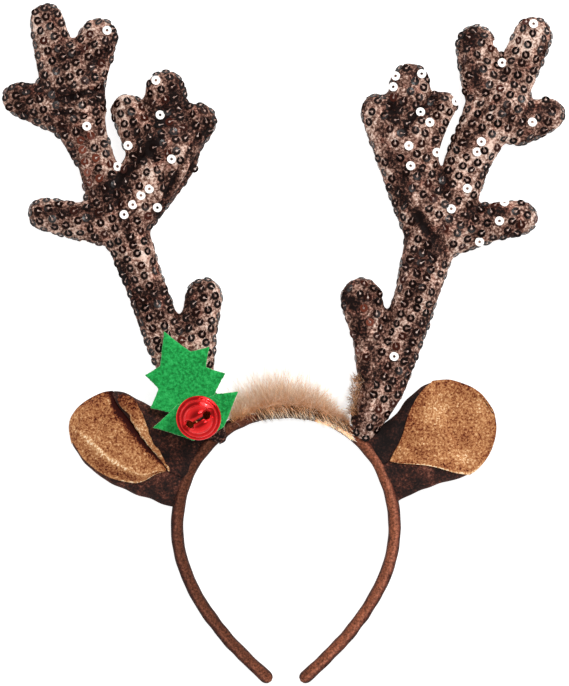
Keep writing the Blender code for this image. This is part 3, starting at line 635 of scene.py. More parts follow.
def sequinPlaces(antler, points, normals, draw):
    # Rows on the flat cloth, bent a little, each matched with the nearest point of the stuffed cloth
    chosen = []
    for side in (1, -1):
        rows = np.flatnonzero(normals[:, 2] * side > -0.05)
        flat = spread(points[rows], normals[rows])
        lean = math.radians(antler["lean"] * (1 if side > 0 else 0.4))
        turn = np.array([[math.cos(lean), -math.sin(lean)], [math.sin(lean), math.cos(lean)]])
        turned = flat @ turn
        low, high = turned.min(0), turned.max(0)
        gridX, gridY = np.meshgrid(
            np.arange(low[0], high[0], sequins["acrossPitch"]),
            np.arange(low[1], high[1], sequins["alongPitch"])
        )
        nodes = np.stack([gridX.ravel(), gridY.ravel()], axis=-1)
        nodes[:, 0] += 0.0013 * np.sin(nodes[:, 1] / 0.021 + antler["seed"])
        nodes[:, 1] += 0.0011 * np.sin(nodes[:, 0] / 0.017 + 2 * antler["seed"])
        nodes += draw.normal(scale=sequins["jitter"], size=nodes.shape)
        for part in np.array_split(nodes, max(1, len(nodes) // 150)):
            gap = ((part[:, None] - turned[None]) ** 2).sum(-1)
            best = gap.argmin(1)
            near = gap[np.arange(len(part)), best] < 0.0009 ** 2
            chosen.append(rows[best[near]])
    chosen = np.unique(np.concatenate(chosen))
    chosen = draw.permutation(chosen)
    apart = np.linalg.norm(points[chosen][:, None] - points[chosen][None], axis=-1)
    clash = np.triu(apart < 2 * sequins["radius"] * 0.86, 1).any(0)
    return chosen[~clash]


def sequinShape(radius, hole, cup):
    # A thin ring with a hole, a little higher at its rim: a profile of four points carried round
    angle = np.linspace(0, 2 * math.pi, sequins["sides"], endpoint=False)
    reach = np.array([hole, radius, radius, hole])
    height = np.array([0.0, cup, cup, 0.0])
    height = height + np.array([0.0, 0.0, sequins["thickness"], sequins["thickness"]])
    ring = np.stack([
        reach[:, None] * np.cos(angle), reach[:, None] * np.sin(angle),
        np.broadcast_to(height[:, None], (4, len(angle)))
    ], axis=-1)
    index = np.arange(4 * len(angle)).reshape(4, len(angle))
    below = np.roll(index, -1, axis=0)
    faces = np.stack([index, np.roll(index, -1, axis=1), np.roll(below, -1, axis=1), below], axis=-1)
    return ring.reshape(-1, 3), faces.reshape(-1, 4)


def threadShape():
    # A knot in the hole that narrows to a flat thread over the ring: a square section along a short path
    inner, outer = sequins["hole"], sequins["radius"]
    over = [inner + 0.0001, outer - 0.0001, outer + 0.0002, outer + sequins["tail"]]
    reach = np.concatenate([np.array([-0.9, -0.3, 0.5, 1.0]) * sequins["knot"], over])
    top = sequins["thickness"] + sequins["cup"]
    height = np.array([-0.0001, 0.0001, 0.0001, 0.0001, top, top + 0.00005, -0.0001, -0.0003])
    half = np.array([0.50, 1.0, 1.0, 0.5, 0.20, 0.20, 0.18, 0.12]) * sequins["knot"]
    high = sequins["threadHigh"]
    points = np.stack([
        np.stack([reach, half * sway, height + rise], axis=-1)
        for sway, rise in ((-1, 0.0), (1, 0.0), (1, high), (-1, high))
    ], axis=1).reshape(-1, 3)
    last = len(points)
    ends = np.array([(0, 3, 2, 1), (last - 4, last - 3, last - 2, last - 1)])
    return points, np.concatenate([gridQuads(len(reach), 4, wrap=True)[:, ::-1], ends])


def spreadShape(shape, faces, centres, sideways, along, up):
    # The same small shape at every centre, each in its own three directions
    placed = centres[:, None] + shape[:, 0, None] * sideways[:, None] + shape[:, 1, None] * along[:, None]
    placed = placed + shape[:, 2, None] * up[:, None]
    shift = np.arange(len(centres))[:, None, None] * len(shape)
    return placed.reshape(-1, 3), (faces[None] + shift).reshape(-1, 4)


def faceLamp(centres):
    # The normals that mirror the lamp to the camera
    lamp, camera = np.array(studio["sparkFrom"]), np.array([*view["centre"], view["distance"]])
    return unit(unit(lamp - centres) + unit(camera - centres))


def buildAntler(side, clothPaint, ringPaint, glintPaint, sewingPaint):
    antler = antlers[side]
    draw = np.random.default_rng(antler["seed"])
    node, voxel, gap = antler["node"], antlerCloth["voxel"], antler["gap"]
    mesh = evenCopy(node, node + "_cloth", voxel, antlerCloth["passes"], gap)
    slack = evenCopy(node, "slack", voxel, antlerCloth["slackPasses"], gap)
    light = dressCloth(antler, mesh, slack)
    bpy.data.meshes.remove(slack)
    mesh.materials.append(clothPaint)
    cloth = addPiece(node + "_cloth", mesh, [node])
    storeValue(cloth, "light", light)
    points, normals = meshPoints(mesh), meshNormals(mesh)
    onFloor = points[:, 2] < 0.0012
    footHeight = bandPoints(antlerCloth["footPlace"])[1]
    nearBand = (points[:, 2] < 0.0112) & (points[:, 1] < footHeight + 0.006)
    bare = (points[:, 0] > antler["bare"][0]) & (points[:, 1] < antler["bare"][1])
    for leaf in ("holly_leaf_upper", "holly_leaf_lower"):
        low, high = np.array(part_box(leaf))
        beside = (points[:, :2] > low[:2]).all(1) & (points[:, :2] < high[:2]).all(1)
        bare |= beside & (points[:, 2] > low[2] - 0.0012)
    usable = np.flatnonzero(~onFloor & ~nearBand & ~bare)
    points, normals = points[usable], normals[usable]
    chosen = sequinPlaces(antler, points, normals, draw)
    away = np.linalg.norm(points[:, None, :2] - np.array(antler["flashes"])[None], axis=-1)
    shiny = (away + (normals[:, 2:] < 0.2)).argmin(0)
    away = np.linalg.norm(points[chosen][:, None] - points[shiny][None], axis=-1).min(1)
    chosen = chosen[away > 1.75 * sequins["radius"]]
    for start, end, width, _, plain in antler["shades"]:
        clear = nearSegment(points[chosen, :2], start, end)[0] > width * 0.8
        chosen = chosen[clear | (normals[chosen, 2] < 0.4) | (not plain)]
    count = len(chosen)
    calm = np.clip(normals[chosen, 2:] / 0.7, 0.15, 1.0)
    up = unit(normals[chosen] + draw.normal(scale=math.radians(sequins["tilt"]), size=(count, 3)) * calm)
    turn = np.radians(draw.normal(60.0 if side == "left" else 75.0, 45.0, count))
    sideways = unit(np.cross(np.stack([-np.sin(turn), np.cos(turn), np.zeros(count)], axis=-1), up))
    along = np.cross(up, sideways)
    lift = 0.00014 + sequins["radius"] * np.linalg.norm(up - normals[chosen], axis=1) * 0.35
    lift = lift - sequins["sink"] * (1 - calm[:, 0])
    centres = points[chosen] + normals[chosen] * lift[:, None]
    shape, faces = sequinShape(sequins["radius"], sequins["hole"], sequins["cup"])
    flat, quads = spreadShape(shape, faces, centres, sideways, along, up)
    rings = makePiece(node + "_sequins", flat, [quads], ringPaint, smooth=False)
    away = np.hypot(*((centres[:, :2] - np.array(antler["rusty"])) / (0.010, 0.020)).T)
    depth = 0.34 + 0.50 * np.exp(-away ** 2) + draw.normal(scale=0.16, size=count)
    storeValue(rings, "tone", np.repeat(np.clip(depth, 0.0, 1.0), len(shape)))
    shape, faces = threadShape()
    flat, quads = spreadShape(shape, faces, centres, sideways, along, up)
    makePiece(node + "_stitches", flat, [quads], sewingPaint)
    # sequins turned square to the lamp, whose near-white colour is a painted glint
    up = faceLamp(points[shiny])
    sideways = unit(np.cross(np.array([0.0, 1.0, 0.0]), up))
    lift = 0.0003 + sequins["flashRadius"] * np.linalg.norm(up - normals[shiny], axis=1) * 0.6
    shape, faces = sequinShape(sequins["flashRadius"], sequins["flashHole"], 0.0)
    centres = points[shiny] + normals[shiny] * lift[:, None]
    flat, quads = spreadShape(shape, faces, centres, sideways, np.cross(up, sideways), up)
    makePiece(node + "_flashes", flat, [quads], glintPaint, smooth=False)
    print("antler", side + ":", len(mesh.polygons), "cloth faces,", count, "sequins")


# Ears: dark velvet outside, tan plush inside, folded to a cup

ears = {
    "halfDepth": 0.0086, "cloth": 0.0012, "lining": 0.0010, "flattening": 25.0, "apart": 0.00015,
    "rows": 120, "columns": 96, "lastRow": 0.992, "tipFrom": 0.84, "lap": 0.0007, "liningFrom": 0.006,
    "along": (0.0, 0.10, 0.18, 0.28, 0.38, 0.48, 0.58, 0.68, 0.77, 0.85, 0.92, 0.97, 1.0),
    "depth": (0.62, 0.66, 0.74, 0.86, 0.96, 1.00, 0.94, 0.84, 0.72, 0.58, 0.44, 0.34, 0.30),
    # Each side runs from the band to the tip, each rim from the place where the flaps meet to the outline
    "left": {
        "seed": 31, "flapShade": 0.3,
        "velvetSize": (0.078, 0.086), "velvetArea": 0.0048, "plushSize": (0.060, 0.070), "plushArea": 0.0031,
        "lowerSide": (
            (-0.0640, -0.0537), (-0.0718, -0.0523), (-0.0775, -0.0502), (-0.0825, -0.0487), (-0.0889, -0.0462),
            (-0.0946, -0.0434), (-0.1003, -0.0409), (-0.1053, -0.0377), (-0.1103, -0.0341), (-0.1146, -0.0302),
            (-0.1181, -0.0245), (-0.1217, -0.0196), (-0.1231, -0.0145), (-0.1242, -0.0088), (-0.1235, -0.0039),
        ),
        "upperSide": (
            (-0.0440, -0.0125), (-0.0560, -0.0060), (-0.0616, -0.0028), (-0.0725, 0.0012), (-0.0775, 0.0030),
            (-0.0804, 0.0047), (-0.0853, 0.0072), (-0.0889, 0.0097), (-0.0932, 0.0112), (-0.0989, 0.0116),
            (-0.1046, 0.0108), (-0.1103, 0.0083), (-0.1157, 0.0051), (-0.1203, 0.0011), (-0.1235, -0.0039),
        ),
        "lowerRim": (
            (-0.0678, -0.0336), (-0.0742, -0.0348), (-0.0800, -0.0385), (-0.0850, -0.0400), (-0.0927, -0.0388),
            (-0.0996, -0.0370), (-0.1074, -0.0329), (-0.1152, -0.0262), (-0.1214, -0.0166),
        ),
        "upperRim": (
            (-0.0678, -0.0336), (-0.0693, -0.0302), (-0.0732, -0.0251), (-0.0784, -0.0194), (-0.0824, -0.0137),
            (-0.0869, -0.0068), (-0.0912, -0.0017), (-0.0955, 0.0034), (-0.0992, 0.0103),
        ),
        "pillow": (
            (0.0, 0.0), (0.05, 0.0006), (0.26, 0.0042), (0.34, 0.0040), (0.60, 0.0034), (0.82, 0.0022),
            (0.92, 0.0006), (1.0, -0.0035),
        ),
    },
    "right": {
        "seed": 41, "flapShade": 1.0,
        "velvetSize": (0.078, 0.086), "velvetArea": 0.0048, "plushSize": (0.060, 0.066), "plushArea": 0.0027,
        "lowerSide": (
            (0.0620, -0.0522), (0.0650, -0.0500), (0.0723, -0.0469), (0.0788, -0.0441), (0.0861, -0.0416),
            (0.0935, -0.0396), (0.1000, -0.0380), (0.1081, -0.0331), (0.1130, -0.0282), (0.1171, -0.0217),
            (0.1195, -0.0143), (0.1203, -0.0078), (0.1191, 0.0000),
        ),
        "upperSide": (
            (0.0440, -0.0130), (0.0560, -0.0062), (0.0642, 0.0007), (0.0699, 0.0072), (0.0747, 0.0117),
            (0.0788, 0.0154), (0.0845, 0.0174), (0.0935, 0.0181), (0.1000, 0.0162), (0.1065, 0.0137),
            (0.1122, 0.0097), (0.1163, 0.0044), (0.1191, 0.0000),
        ),
        "lowerRim": (
            (0.0589, -0.0282), (0.0642, -0.0286), (0.0723, -0.0290), (0.0804, -0.0298), (0.0861, -0.0310),
            (0.0927, -0.0331), (0.0984, -0.0345), (0.1045, -0.0353),
        ),
        "upperRim": (
            (0.0589, -0.0282), (0.0613, -0.0241), (0.0642, -0.0192), (0.0670, -0.0127), (0.0690, -0.0046),
            (0.0715, 0.0019), (0.0747, 0.0076), (0.0788, 0.0129), (0.0829, 0.0162), (0.0845, 0.0174),
        ),
        "pillow": ((0.0, 0.0), (0.25, -0.0024), (0.5, -0.0032), (0.75, -0.0024), (1.0, 0.0)),
    },
    # The left ear's turned-over hem: its middle line, its width, and its height above the flap's edge
    "roll": (
        (-0.0966, 0.0086, 0.0060, -0.0006), (-0.0880, 0.0034, 0.0088, 0.0004),
        (-0.0833, -0.0060, 0.0066, 0.0008), (-0.0797, -0.0137, 0.0048, 0.0008),
        (-0.0765, -0.0190, 0.0034, 0.0006), (-0.0716, -0.0253, 0.0026, 0.0004),
        (-0.0664, -0.0338, 0.0016, 0.0000),
    ),
    "rollAround": 28, "rollAlong": 120,
}


def pathAt(corners, share, smooth=0.05):
    # Points at shares of a path's length; its corners are rounded by an average over a short stretch
    corners = np.array(corners)
    travel = np.concatenate([[0.0], np.cumsum(np.linalg.norm(np.diff(corners[:, :2], axis=0), axis=1))])
    fine = np.linspace(0.0, 1.0, 401)
    line = np.stack([np.interp(fine, travel / travel[-1], part) for part in corners.T], axis=-1)
    reach = int(400 * smooth)
    weight = np.hanning(2 * reach + 3)[1:-1]
    longer = np.concatenate([2 * line[0] - line[reach:0:-1], line, 2 * line[-1] - line[-2:-reach - 2:-1]])
    line = np.stack([np.convolve(part, weight / weight.sum(), "valid") for part in longer.T], axis=-1)
    return np.stack([np.interp(share, fine, part) for part in line.T], axis=-1)


def rimShare(lower, upper, rim, outline):
    # Where a rim crosses each chord from the lower to the upper side, as a share of the chord.
    # Past the rim's outer end the edge is the outline itself.
    line = pathAt(rim, np.linspace(0.0, 1.0, 800))
    chord = upper - lower
    length = np.linalg.norm(chord, axis=1)
    toLine = line[None] - lower[:, None]
    off = np.abs(chord[:, None, 0] * toLine[..., 1] - chord[:, None, 1] * toLine[..., 0]) / length[:, None]
    best = off.argmin(1)
    found = (toLine[np.arange(len(lower)), best] * chord).sum(1) / length ** 2
    return np.where(best >= len(line) - 2, outline, np.clip(found, 0.0, 1.0))


def earSections(ear):
    # Chords between the ear's two sides, where both rims cross them, and the angle from the back of each
    # section to its edges: past a quarter turn the cloth comes forward over the cup, and toward the tip
    # it flattens
    along = np.linspace(0.0, ears["lastRow"], ears["rows"])
    lower, upper = pathAt(ear["lowerSide"], along), pathAt(ear["upperSide"], along)
    apart = ears["apart"] / np.linalg.norm(upper - lower, axis=1)
    limits, shares = [], []
    for rim, outline in ((ear["lowerRim"], 0.0), (ear["upperRim"], 1.0)):
        share = rimShare(lower, upper, rim, outline)
        inward = np.abs(share - outline)
        openAt = along[inward > 0.004].max()
        flat = np.radians(90 - ears["flattening"] * (along - openAt) / (1 - openAt))
        folded = math.pi - np.arcsin(np.clip(1 - 2 * (inward - apart), -1.0, 1.0))
        limits.append(np.where(along <= openAt, np.maximum(folded, math.pi / 2), flat))
        shares.append(np.where(along <= openAt, share, outline))
    return along, lower, upper, limits, shares


def earSheet(along, lower, upper, limits, spot):
    # The cup's cloth: an ellipse's arc over each chord, from its lower edge to its upper edge.
    # At the tip the whole section rises to the height of its edges.
    low, high = limits[0][:, None], limits[1][:, None]
    angle = -low + (low + high) * spot
    reach = np.sin(np.minimum(np.where(angle < 0, low, high), math.pi / 2))
    across = 0.5 + 0.5 * np.sin(angle) / reach
    deep = ears["halfDepth"] * np.interp(along, ears["along"], ears["depth"])[:, None]
    height = deep * (1 - np.cos(angle))
    rise = (np.maximum(along - ears["tipFrom"], 0.0) / (1 - ears["tipFrom"]))[:, None] ** 2
    edge = deep * (1 - np.cos(high))
    plan = lower[:, None] + (upper - lower)[:, None] * across[..., None]
    return np.concatenate([plan, (height * (1 - rise) + edge * rise)[..., None]], axis=-1)


def sheetNormals(points):
    # Normals of a grid of points, from the differences along and across it
    return unit(np.cross(np.gradient(points, axis=0), np.gradient(points, axis=1)))


def closedCloth(top, bottom):
    # Two grids of the same size joined round their edges into one closed skin; top is the side that shows
    rows, columns = top.shape[:2]
    count = rows * columns
    index = np.arange(count).reshape(rows, columns)
    edge = np.concatenate([index[0, :-1], index[:-1, -1], index[-1, :0:-1], index[:0:-1, 0]])
    after = np.roll(edge, -1)
    rim = np.stack([edge, edge + count, after + count, after], axis=-1)
    quads = gridQuads(rows, columns)
    points = np.concatenate([top.reshape(-1, 3), bottom.reshape(-1, 3)])
    return points, np.concatenate([quads, quads[:, ::-1] + count, rim])


def plushPaint():
    paint = Paint(
        "tan_plush", Roughness=0.8, Specular_IOR_Level=0.10, Sheen_Weight=0.05, Sheen_Roughness=0.4,
        Sheen_Tint=tone(240, 190, 140)
    )
    patch = paint.noise(0.013, 2.0)
    grain = paint.noise(0.00135, 2.0, 0.8)
    level = paint.level((grain, 1.9), (patch, 0.6))
    # painted highlights and painted shade from the two stored values
    level = paint.sum(level, paint.sum(paint.value("paintedLight"), 0.34, "MULTIPLY"))
    level = paint.sum(level, paint.sum(paint.value("shade"), -0.50, "MULTIPLY"))
    paint.colour(paint.ramp(
        level, (0.02, tone(44, 8, 5)), (0.24, tone(112, 52, 29)), (0.48, tone(163, 106, 66)),
        (0.70, tone(192, 136, 90)), (0.88, tone(226, 180, 132)), (1.0, tone(252, 224, 188))
    ))
    paint.bump(grain, 0.5, 0.0006)
    return paint.material


def darkVelvetPaint():
    paint = Paint(
        "dark_velvet", Roughness=0.85, Specular_IOR_Level=0.25, Sheen_Weight=0.35, Sheen_Roughness=0.35,
        Sheen_Tint=tone(190, 120, 92)
    )
    patch = paint.noise(0.010, 4.0, 0.6)
    pile = paint.noise(0.0013, 3.0, 0.75)
    level = paint.level((patch, 1.3), (pile, 1.7))
    # the stored shade value paints shade on the upper flap
    level = paint.sum(level, paint.sum(paint.value("shade"), -0.26, "MULTIPLY"))
    paint.colour(paint.ramp(
        level, (0.16, tone(17, 8, 7)), (0.44, tone(44, 24, 20)), (0.66, tone(82, 42, 32)),
        (0.92, tone(136, 86, 70))
    ))
    paint.bump(pile, 0.55, 0.0007)
    return paint.material


def buildEar(side, velvet, plush):
    ear, name = ears[side], "ear_" + side
    along, lower, upper, limits, shares = earSections(ear)
    sheet = earSheet(along, lower, upper, limits, np.linspace(0.0, 1.0, ears["columns"]))
    inward = sheetNormals(sheet)
    flip = math.copysign(1.0, inward[ears["rows"] // 2, ears["columns"] // 2, 2])
    inward = inward * flip
    crumple = waves(sheet.reshape(-1, 3), 0.017, ear["seed"]).reshape(sheet.shape[:2]) * 0.00035
    sheet = sheet + inward * crumple[..., None]
    points, quads = closedCloth(sheet + inward * ears["cloth"], sheet)
    quads = quads if flip > 0 else quads[:, ::-1]
    outer = makePiece(name + "_velvet", points, [quads], velvet, replaced=[name + "_outer"])
    # painted shade on the upper flap, strongest on the right ear
    flapShade = np.clip((np.linspace(0.0, 1.0, ears["columns"]) - 0.62) / 0.16, 0.0, 1.0) * ear["flapShade"]
    storeValue(outer, "shade", np.tile(flapShade, 2 * ears["rows"]))
    # the lining spans the cup from rim to rim, swollen or sunk by the pillow profile
    length = np.linalg.norm(upper - lower, axis=1)
    rows = np.flatnonzero(shares[1] - shares[0] > ears["liningFrom"])
    lap = (ears["lap"] / length[rows] * np.clip((along[rows] - along[rows[0]]) / 0.06, 0.0, 1.0))[:, None]
    spot = np.linspace(0.0, 1.0, ears["columns"])
    low, high = shares[0][rows, None] - lap, shares[1][rows, None] + lap
    plan = lower[rows][:, None] + (upper - lower)[rows][:, None] * (low + (high - low) * spot)[..., None]
    rims = sheet[rows][:, [0, -1], 2]
    window = np.sin(np.clip((along[rows] - along[rows[0]]) / 0.16, 0.0, 1.0) * math.pi / 2)
    window = window * np.sqrt(np.clip((1 - along[rows]) / 0.30, 0.0, 1.0))
    pillow = np.interp(spot, *np.array(ear["pillow"]).T)
    # the lining dips at its upper edge only where the flap covers it
    covered = np.clip((1 - shares[1][rows, None]) / 0.12, 0.0, 1.0)
    dip = 1 - np.clip((spot - 0.8) / 0.2, 0.0, 1.0) * (1 - covered)
    pillow = np.maximum(pillow, 0.0) + np.minimum(pillow, 0.0) * dip
    height = rims[:, :1] * (1 - spot) + rims[:, 1:] * spot + window[:, None] * pillow
    flat = np.concatenate([plan, height[..., None]], axis=-1)
    ripple = 0.00022 * waves(flat.reshape(-1, 3), 0.013, ear["seed"] + 1).reshape(height.shape)
    height = height + ripple * window[:, None]
    top = np.concatenate([plan, height[..., None] + ears["lining"] * 1.3], axis=-1)
    points, quads = closedCloth(top, top - np.array([0.0, 0.0, ears["lining"]]))
    quads = quads if flip > 0 else quads[:, ::-1]
    # painted highlights and painted shade for the lining's colour
    paintedLight, shade = (paintedLightLeft if side == "left" else paintedLightRight)(top, along[rows][:, None], spot[None])
    values = [np.tile(part.ravel(), 2) for part in (paintedLight, shade)]
    if side == "left":
        edges = pathAt(ear["upperRim"], np.linspace(1.0, 0.0, ears["rollAlong"]))
        near = np.linalg.norm(sheet[None, :, -1, :2] - edges[:, None], axis=-1).argmin(1)
        rolled, rollQuads, rollLight = buildRoll(sheet[near, -1, 2])
        quads = np.concatenate([quads, rollQuads + len(points)])
        points = np.concatenate([points, rolled])
        values = [np.concatenate([values[0], rollLight]), np.concatenate([values[1], np.zeros(len(rolled))])]
    lining = makePiece(name + "_plush", points, [quads], plush, replaced=[name + "_lining"])
    storeValue(lining, "paintedLight", values[0])
    storeValue(lining, "shade", values[1])
    print("ear", side + ":", len(outer.data.polygons) + len(lining.data.polygons), "faces")


def paintedLightLeft(top, along, spot):
    # Painted highlights: a light ridge beside the lower rim, a light cream edge near the band and a light peak
    # at the slit's top; painted shade dark toward the slit and a little beside the lower rim
    ridge = 1.1 * np.exp(-((spot - 0.27) / 0.048) ** 2) * np.clip(np.sin(along * math.pi), 0, 1)
    edge = 1.2 * np.exp(-((spot - 0.01) / 0.028) ** 2) * np.clip((0.46 - along) / 0.12, 0.0, 1.0)
    peak = 0.8 * np.exp(-(np.hypot(top[..., 0] + 0.1011, top[..., 1] - 0.0065) / 0.0016) ** 2)
    slit = np.clip((top[..., 0] + 0.1015) / 0.0030, 0.0, 1.0)
    shade = 2.6 * np.exp(-((spot - 1.0) / 0.110) ** 2) * slit + 0.45 * np.exp(-((spot - 1.0) / 0.26) ** 2)
    shade = shade + 0.30 * np.exp(-((spot - 0.10) / 0.06) ** 2)
    return ridge + edge + peak, np.broadcast_to(shade, top.shape[:2])


def paintedLightRight(top, along, spot):
    # Painted highlights: two soft light patches and a thin light rim above the lower flap; painted shade a
    # little darker along both edges
    first = 0.70 * np.exp(-(np.hypot(top[..., 0] - 0.0895, top[..., 1] - 0.0015) / 0.0080) ** 2)
    second = 0.65 * np.exp(-(np.hypot((top[..., 0] - 0.1010) / 1.5, top[..., 1] + 0.0265) / 0.0050) ** 2)
    rim = 1.6 * np.exp(-((spot - 0.005) / 0.018) ** 2) * np.clip((0.70 - along) / 0.1, 0.0, 1.0)
    shade = 0.25 * np.exp(-(spot / 0.12) ** 2) + 0.25 * np.exp(-((1 - spot) / 0.10) ** 2)
    return first + second + rim, np.broadcast_to(shade, top.shape[:2])


def buildRoll(rimHeight):
    # An oval section carried along the hem's middle line, closed by a point at each end
    count, around = ears["rollAlong"], ears["rollAround"]
    line = pathAt(ears["roll"], np.linspace(0.0, 1.0, count))
    tangent = unit(np.gradient(line[:, :2], axis=0))
    sideways = np.stack([-tangent[:, 1], tangent[:, 0], np.zeros(count)], axis=-1)
    turn = np.linspace(0, 2 * math.pi, around, endpoint=False)
    half = line[:, 2] / 2 * (1 + 0.10 * np.sin(np.linspace(0, 19, count)))
    fromEnd = np.minimum(np.arange(count), np.arange(count)[::-1]) / (0.07 * count)
    half = half * np.sqrt(np.clip(fromEnd * (2 - np.minimum(fromEnd, 1.0)), 0.01, 1.0))
    tall = np.minimum(half * 0.75, 0.0021)
    centre = np.stack([line[:, 0], line[:, 1], rimHeight + line[:, 3]], axis=-1)
    points = centre[:, None] + sideways[:, None] * (half[:, None] * np.cos(turn))[..., None]
    points[..., 2] += tall[:, None] * np.sin(turn)
    points += 0.00018 * waves(points.reshape(-1, 3), 0.006, 33).reshape(count, around, 1)
    ends = np.concatenate([centre[:1], centre[-1:]])
    flat = np.concatenate([points.reshape(-1, 3), ends])
    index = np.arange(count * around).reshape(count, around)
    first = len(flat) - 2
    # each end is closed by quads that take two steps of the ring at a time
    even = np.arange(0, around, 2)
    steps = np.stack([even, even + 1, (even + 2) % around])
    start = np.column_stack([np.full(len(even), first), *index[0, steps]])
    stop = np.column_stack([np.full(len(even), first + 1), *index[-1, steps[::-1]]])
    quads = np.concatenate([gridQuads(count, around, wrap=True)[:, ::-1], start, stop])
    # darker toward the hem's upper end and lighter toward its lower end, with a painted highlight along its
    # top
    blush = np.clip(np.linspace(-1.3, 2.2, count), -1.3, 0.35)[:, None]
    paintedLight = (blush + 0.7 * np.exp(-((np.degrees(turn) - 150) / 24) ** 2)).ravel()
    return flat, quads, np.concatenate([paintedLight, [0.0, 0.0]])


# Leaves: felt

leaves = {
    "voxel": 0.00048, "warp": 0.0005, "fuzz": 0.00007,
    "base": (24, 154, 70), "shade": (12, 116, 48), "light": (48, 182, 92),
}


def feltPaint():
    paint = Paint(
        "green_felt", Roughness=0.92, Specular_IOR_Level=0.2, Sheen_Weight=0.25, Sheen_Tint=tone(170, 230, 180)
    )
    fibre = paint.noise(0.0016, 6.0, 0.75)
    patch = paint.noise(0.012, 2.0)
    level = paint.sum(paint.sum(fibre, 0.8, "MULTIPLY"), paint.sum(patch, 0.2, "MULTIPLY"))
    base = paint.ramp(
        level, (0.41, tone(*leaves["shade"])), (0.50, tone(*leaves["base"])), (0.59, tone(*leaves["light"]))
    )
    paint.colour(paint.mix(paint.value("cut"), base, tone(196, 226, 186)))
    paint.bump(fibre, 0.45, 0.0004)
    return paint.material


def buildLeaf(name, seed, felt):
    mesh = evenCopy(name, name + "_felt", leaves["voxel"], 2)
    points, normals = meshPoints(mesh), meshNormals(mesh)
    points += normals * (waves(points, 0.0013, seed) * leaves["fuzz"])[:, None]
    points[:, 2] += waves(points[:, :2], 0.05, seed + 1) * leaves["warp"]
    edge = np.exp(-(normals[:, 2] / 0.35) ** 2) * 0.55
    setPoints(mesh, points)
    mesh.materials.append(felt)
    leaf = addPiece(name + "_felt", mesh, [name])
    storeValue(leaf, "cut", edge)
    print(name + ":", len(mesh.polygons), "faces")


# Jingle bell: two pressed shells with a bead where they meet, and a slot with a round hole at each end

bell = {
    "radius": 0.0106, "beadOut": 0.0021, "wall": 0.0007, "holeRadius": 0.0027, "slotHalf": 0.00085,
    "holeAt": 0.00640, "turn": 29.0, "lean": 8.0, "pelletDrop": 0.0062, "around": 144, "rows": 64,
    "loopRadius": 0.0021, "loopWire": 0.0006, "lipDepth": 0.0014,
    "frontGroove": 0.0006, "ridge": 0.00075, "rearGroove": 0.0007, "backRidge": 0.0003,
}


def bellReach(theta):
    # Distance from the bell's middle at each angle from the front pole: a ball with a bead at its middle,
    # a shoulder ridge in front of it and a groove on each side of the ridge
    degrees = np.degrees(theta)
    bead = bell["beadOut"] * np.sqrt(np.maximum(1 - ((degrees - 90) / 6.0) ** 2, 0.0)) ** 1.1
    ridge = bell["ridge"] * np.exp(-((degrees - 66) / 5.0) ** 2)
    grooves = bell["frontGroove"] * np.exp(-((degrees - 54.5) / 4.0) ** 2)
    grooves = grooves + bell["rearGroove"] * np.exp(-((degrees - 77) / 4.0) ** 2)
    back = bell["backRidge"] * np.exp(-((degrees - 118) / 5) ** 2)
    return bell["radius"] + bead + ridge - grooves + back


def slotOutline():
    # The slot's edge seen from the front, and the angle of the outer circle's point that each point is
    # joined to: the right hole's arc, the upper wall, the left hole's arc and the lower wall
    quarter = bell["around"] // 2 - 14
    corner = math.asin(bell["slotHalf"] / bell["holeRadius"])
    arc = np.linspace(-(math.pi - corner), math.pi - corner, quarter)
    reach = bell["holeAt"] - bell["holeRadius"] * math.cos(corner)
    wall = np.linspace(reach, -reach, 16)[1:-1]
    swing = math.radians(66)
    rightX = bell["holeAt"] + bell["holeRadius"] * np.cos(arc)
    rightY = bell["holeRadius"] * np.sin(arc)
    x = np.concatenate([rightX, wall, -rightX, -wall])
    y = np.concatenate([rightY, np.full(14, bell["slotHalf"]), -rightY, np.full(14, -bell["slotHalf"])])
    fanned = arc * swing / (math.pi - corner)
    between = np.linspace(swing, math.pi - swing, 16)[1:-1]
    return x, y, np.concatenate([fanned, between, fanned + math.pi, between + math.pi])


def onBell(flatX, flatY, reach):
    # A plan of angles from the front pole, wrapped onto the ball
    theta = np.hypot(flatX, flatY)
    turn = np.arctan2(flatY, flatX)
    return np.stack([
        reach * np.sin(theta) * np.cos(turn), reach * np.sin(theta) * np.sin(turn), reach * np.cos(theta)
    ], axis=-1)


def bellPaint():
    paint = Paint("red_metal", Metallic=0.92, Roughness=0.17, Coat_Weight=0.40, Coat_Roughness=0.08)
    # the inside is copper-coloured metal, painted pale so that it looks lit through the slot and holes
    inside = paint.value("inside")
    base = paint.mix(inside, tone(216, 6, 9), tone(240, 150, 96))
    cloud = paint.noise(0.004, 3.0)
    paint.colour(paint.mix(1.0, base, paint.ramp(cloud, (0.3, 0.82), (0.7, 1.1)), "MULTIPLY"))
    paint.bump(paint.noise(0.0016, 2.0), 0.04, 0.0006)
    return paint.material


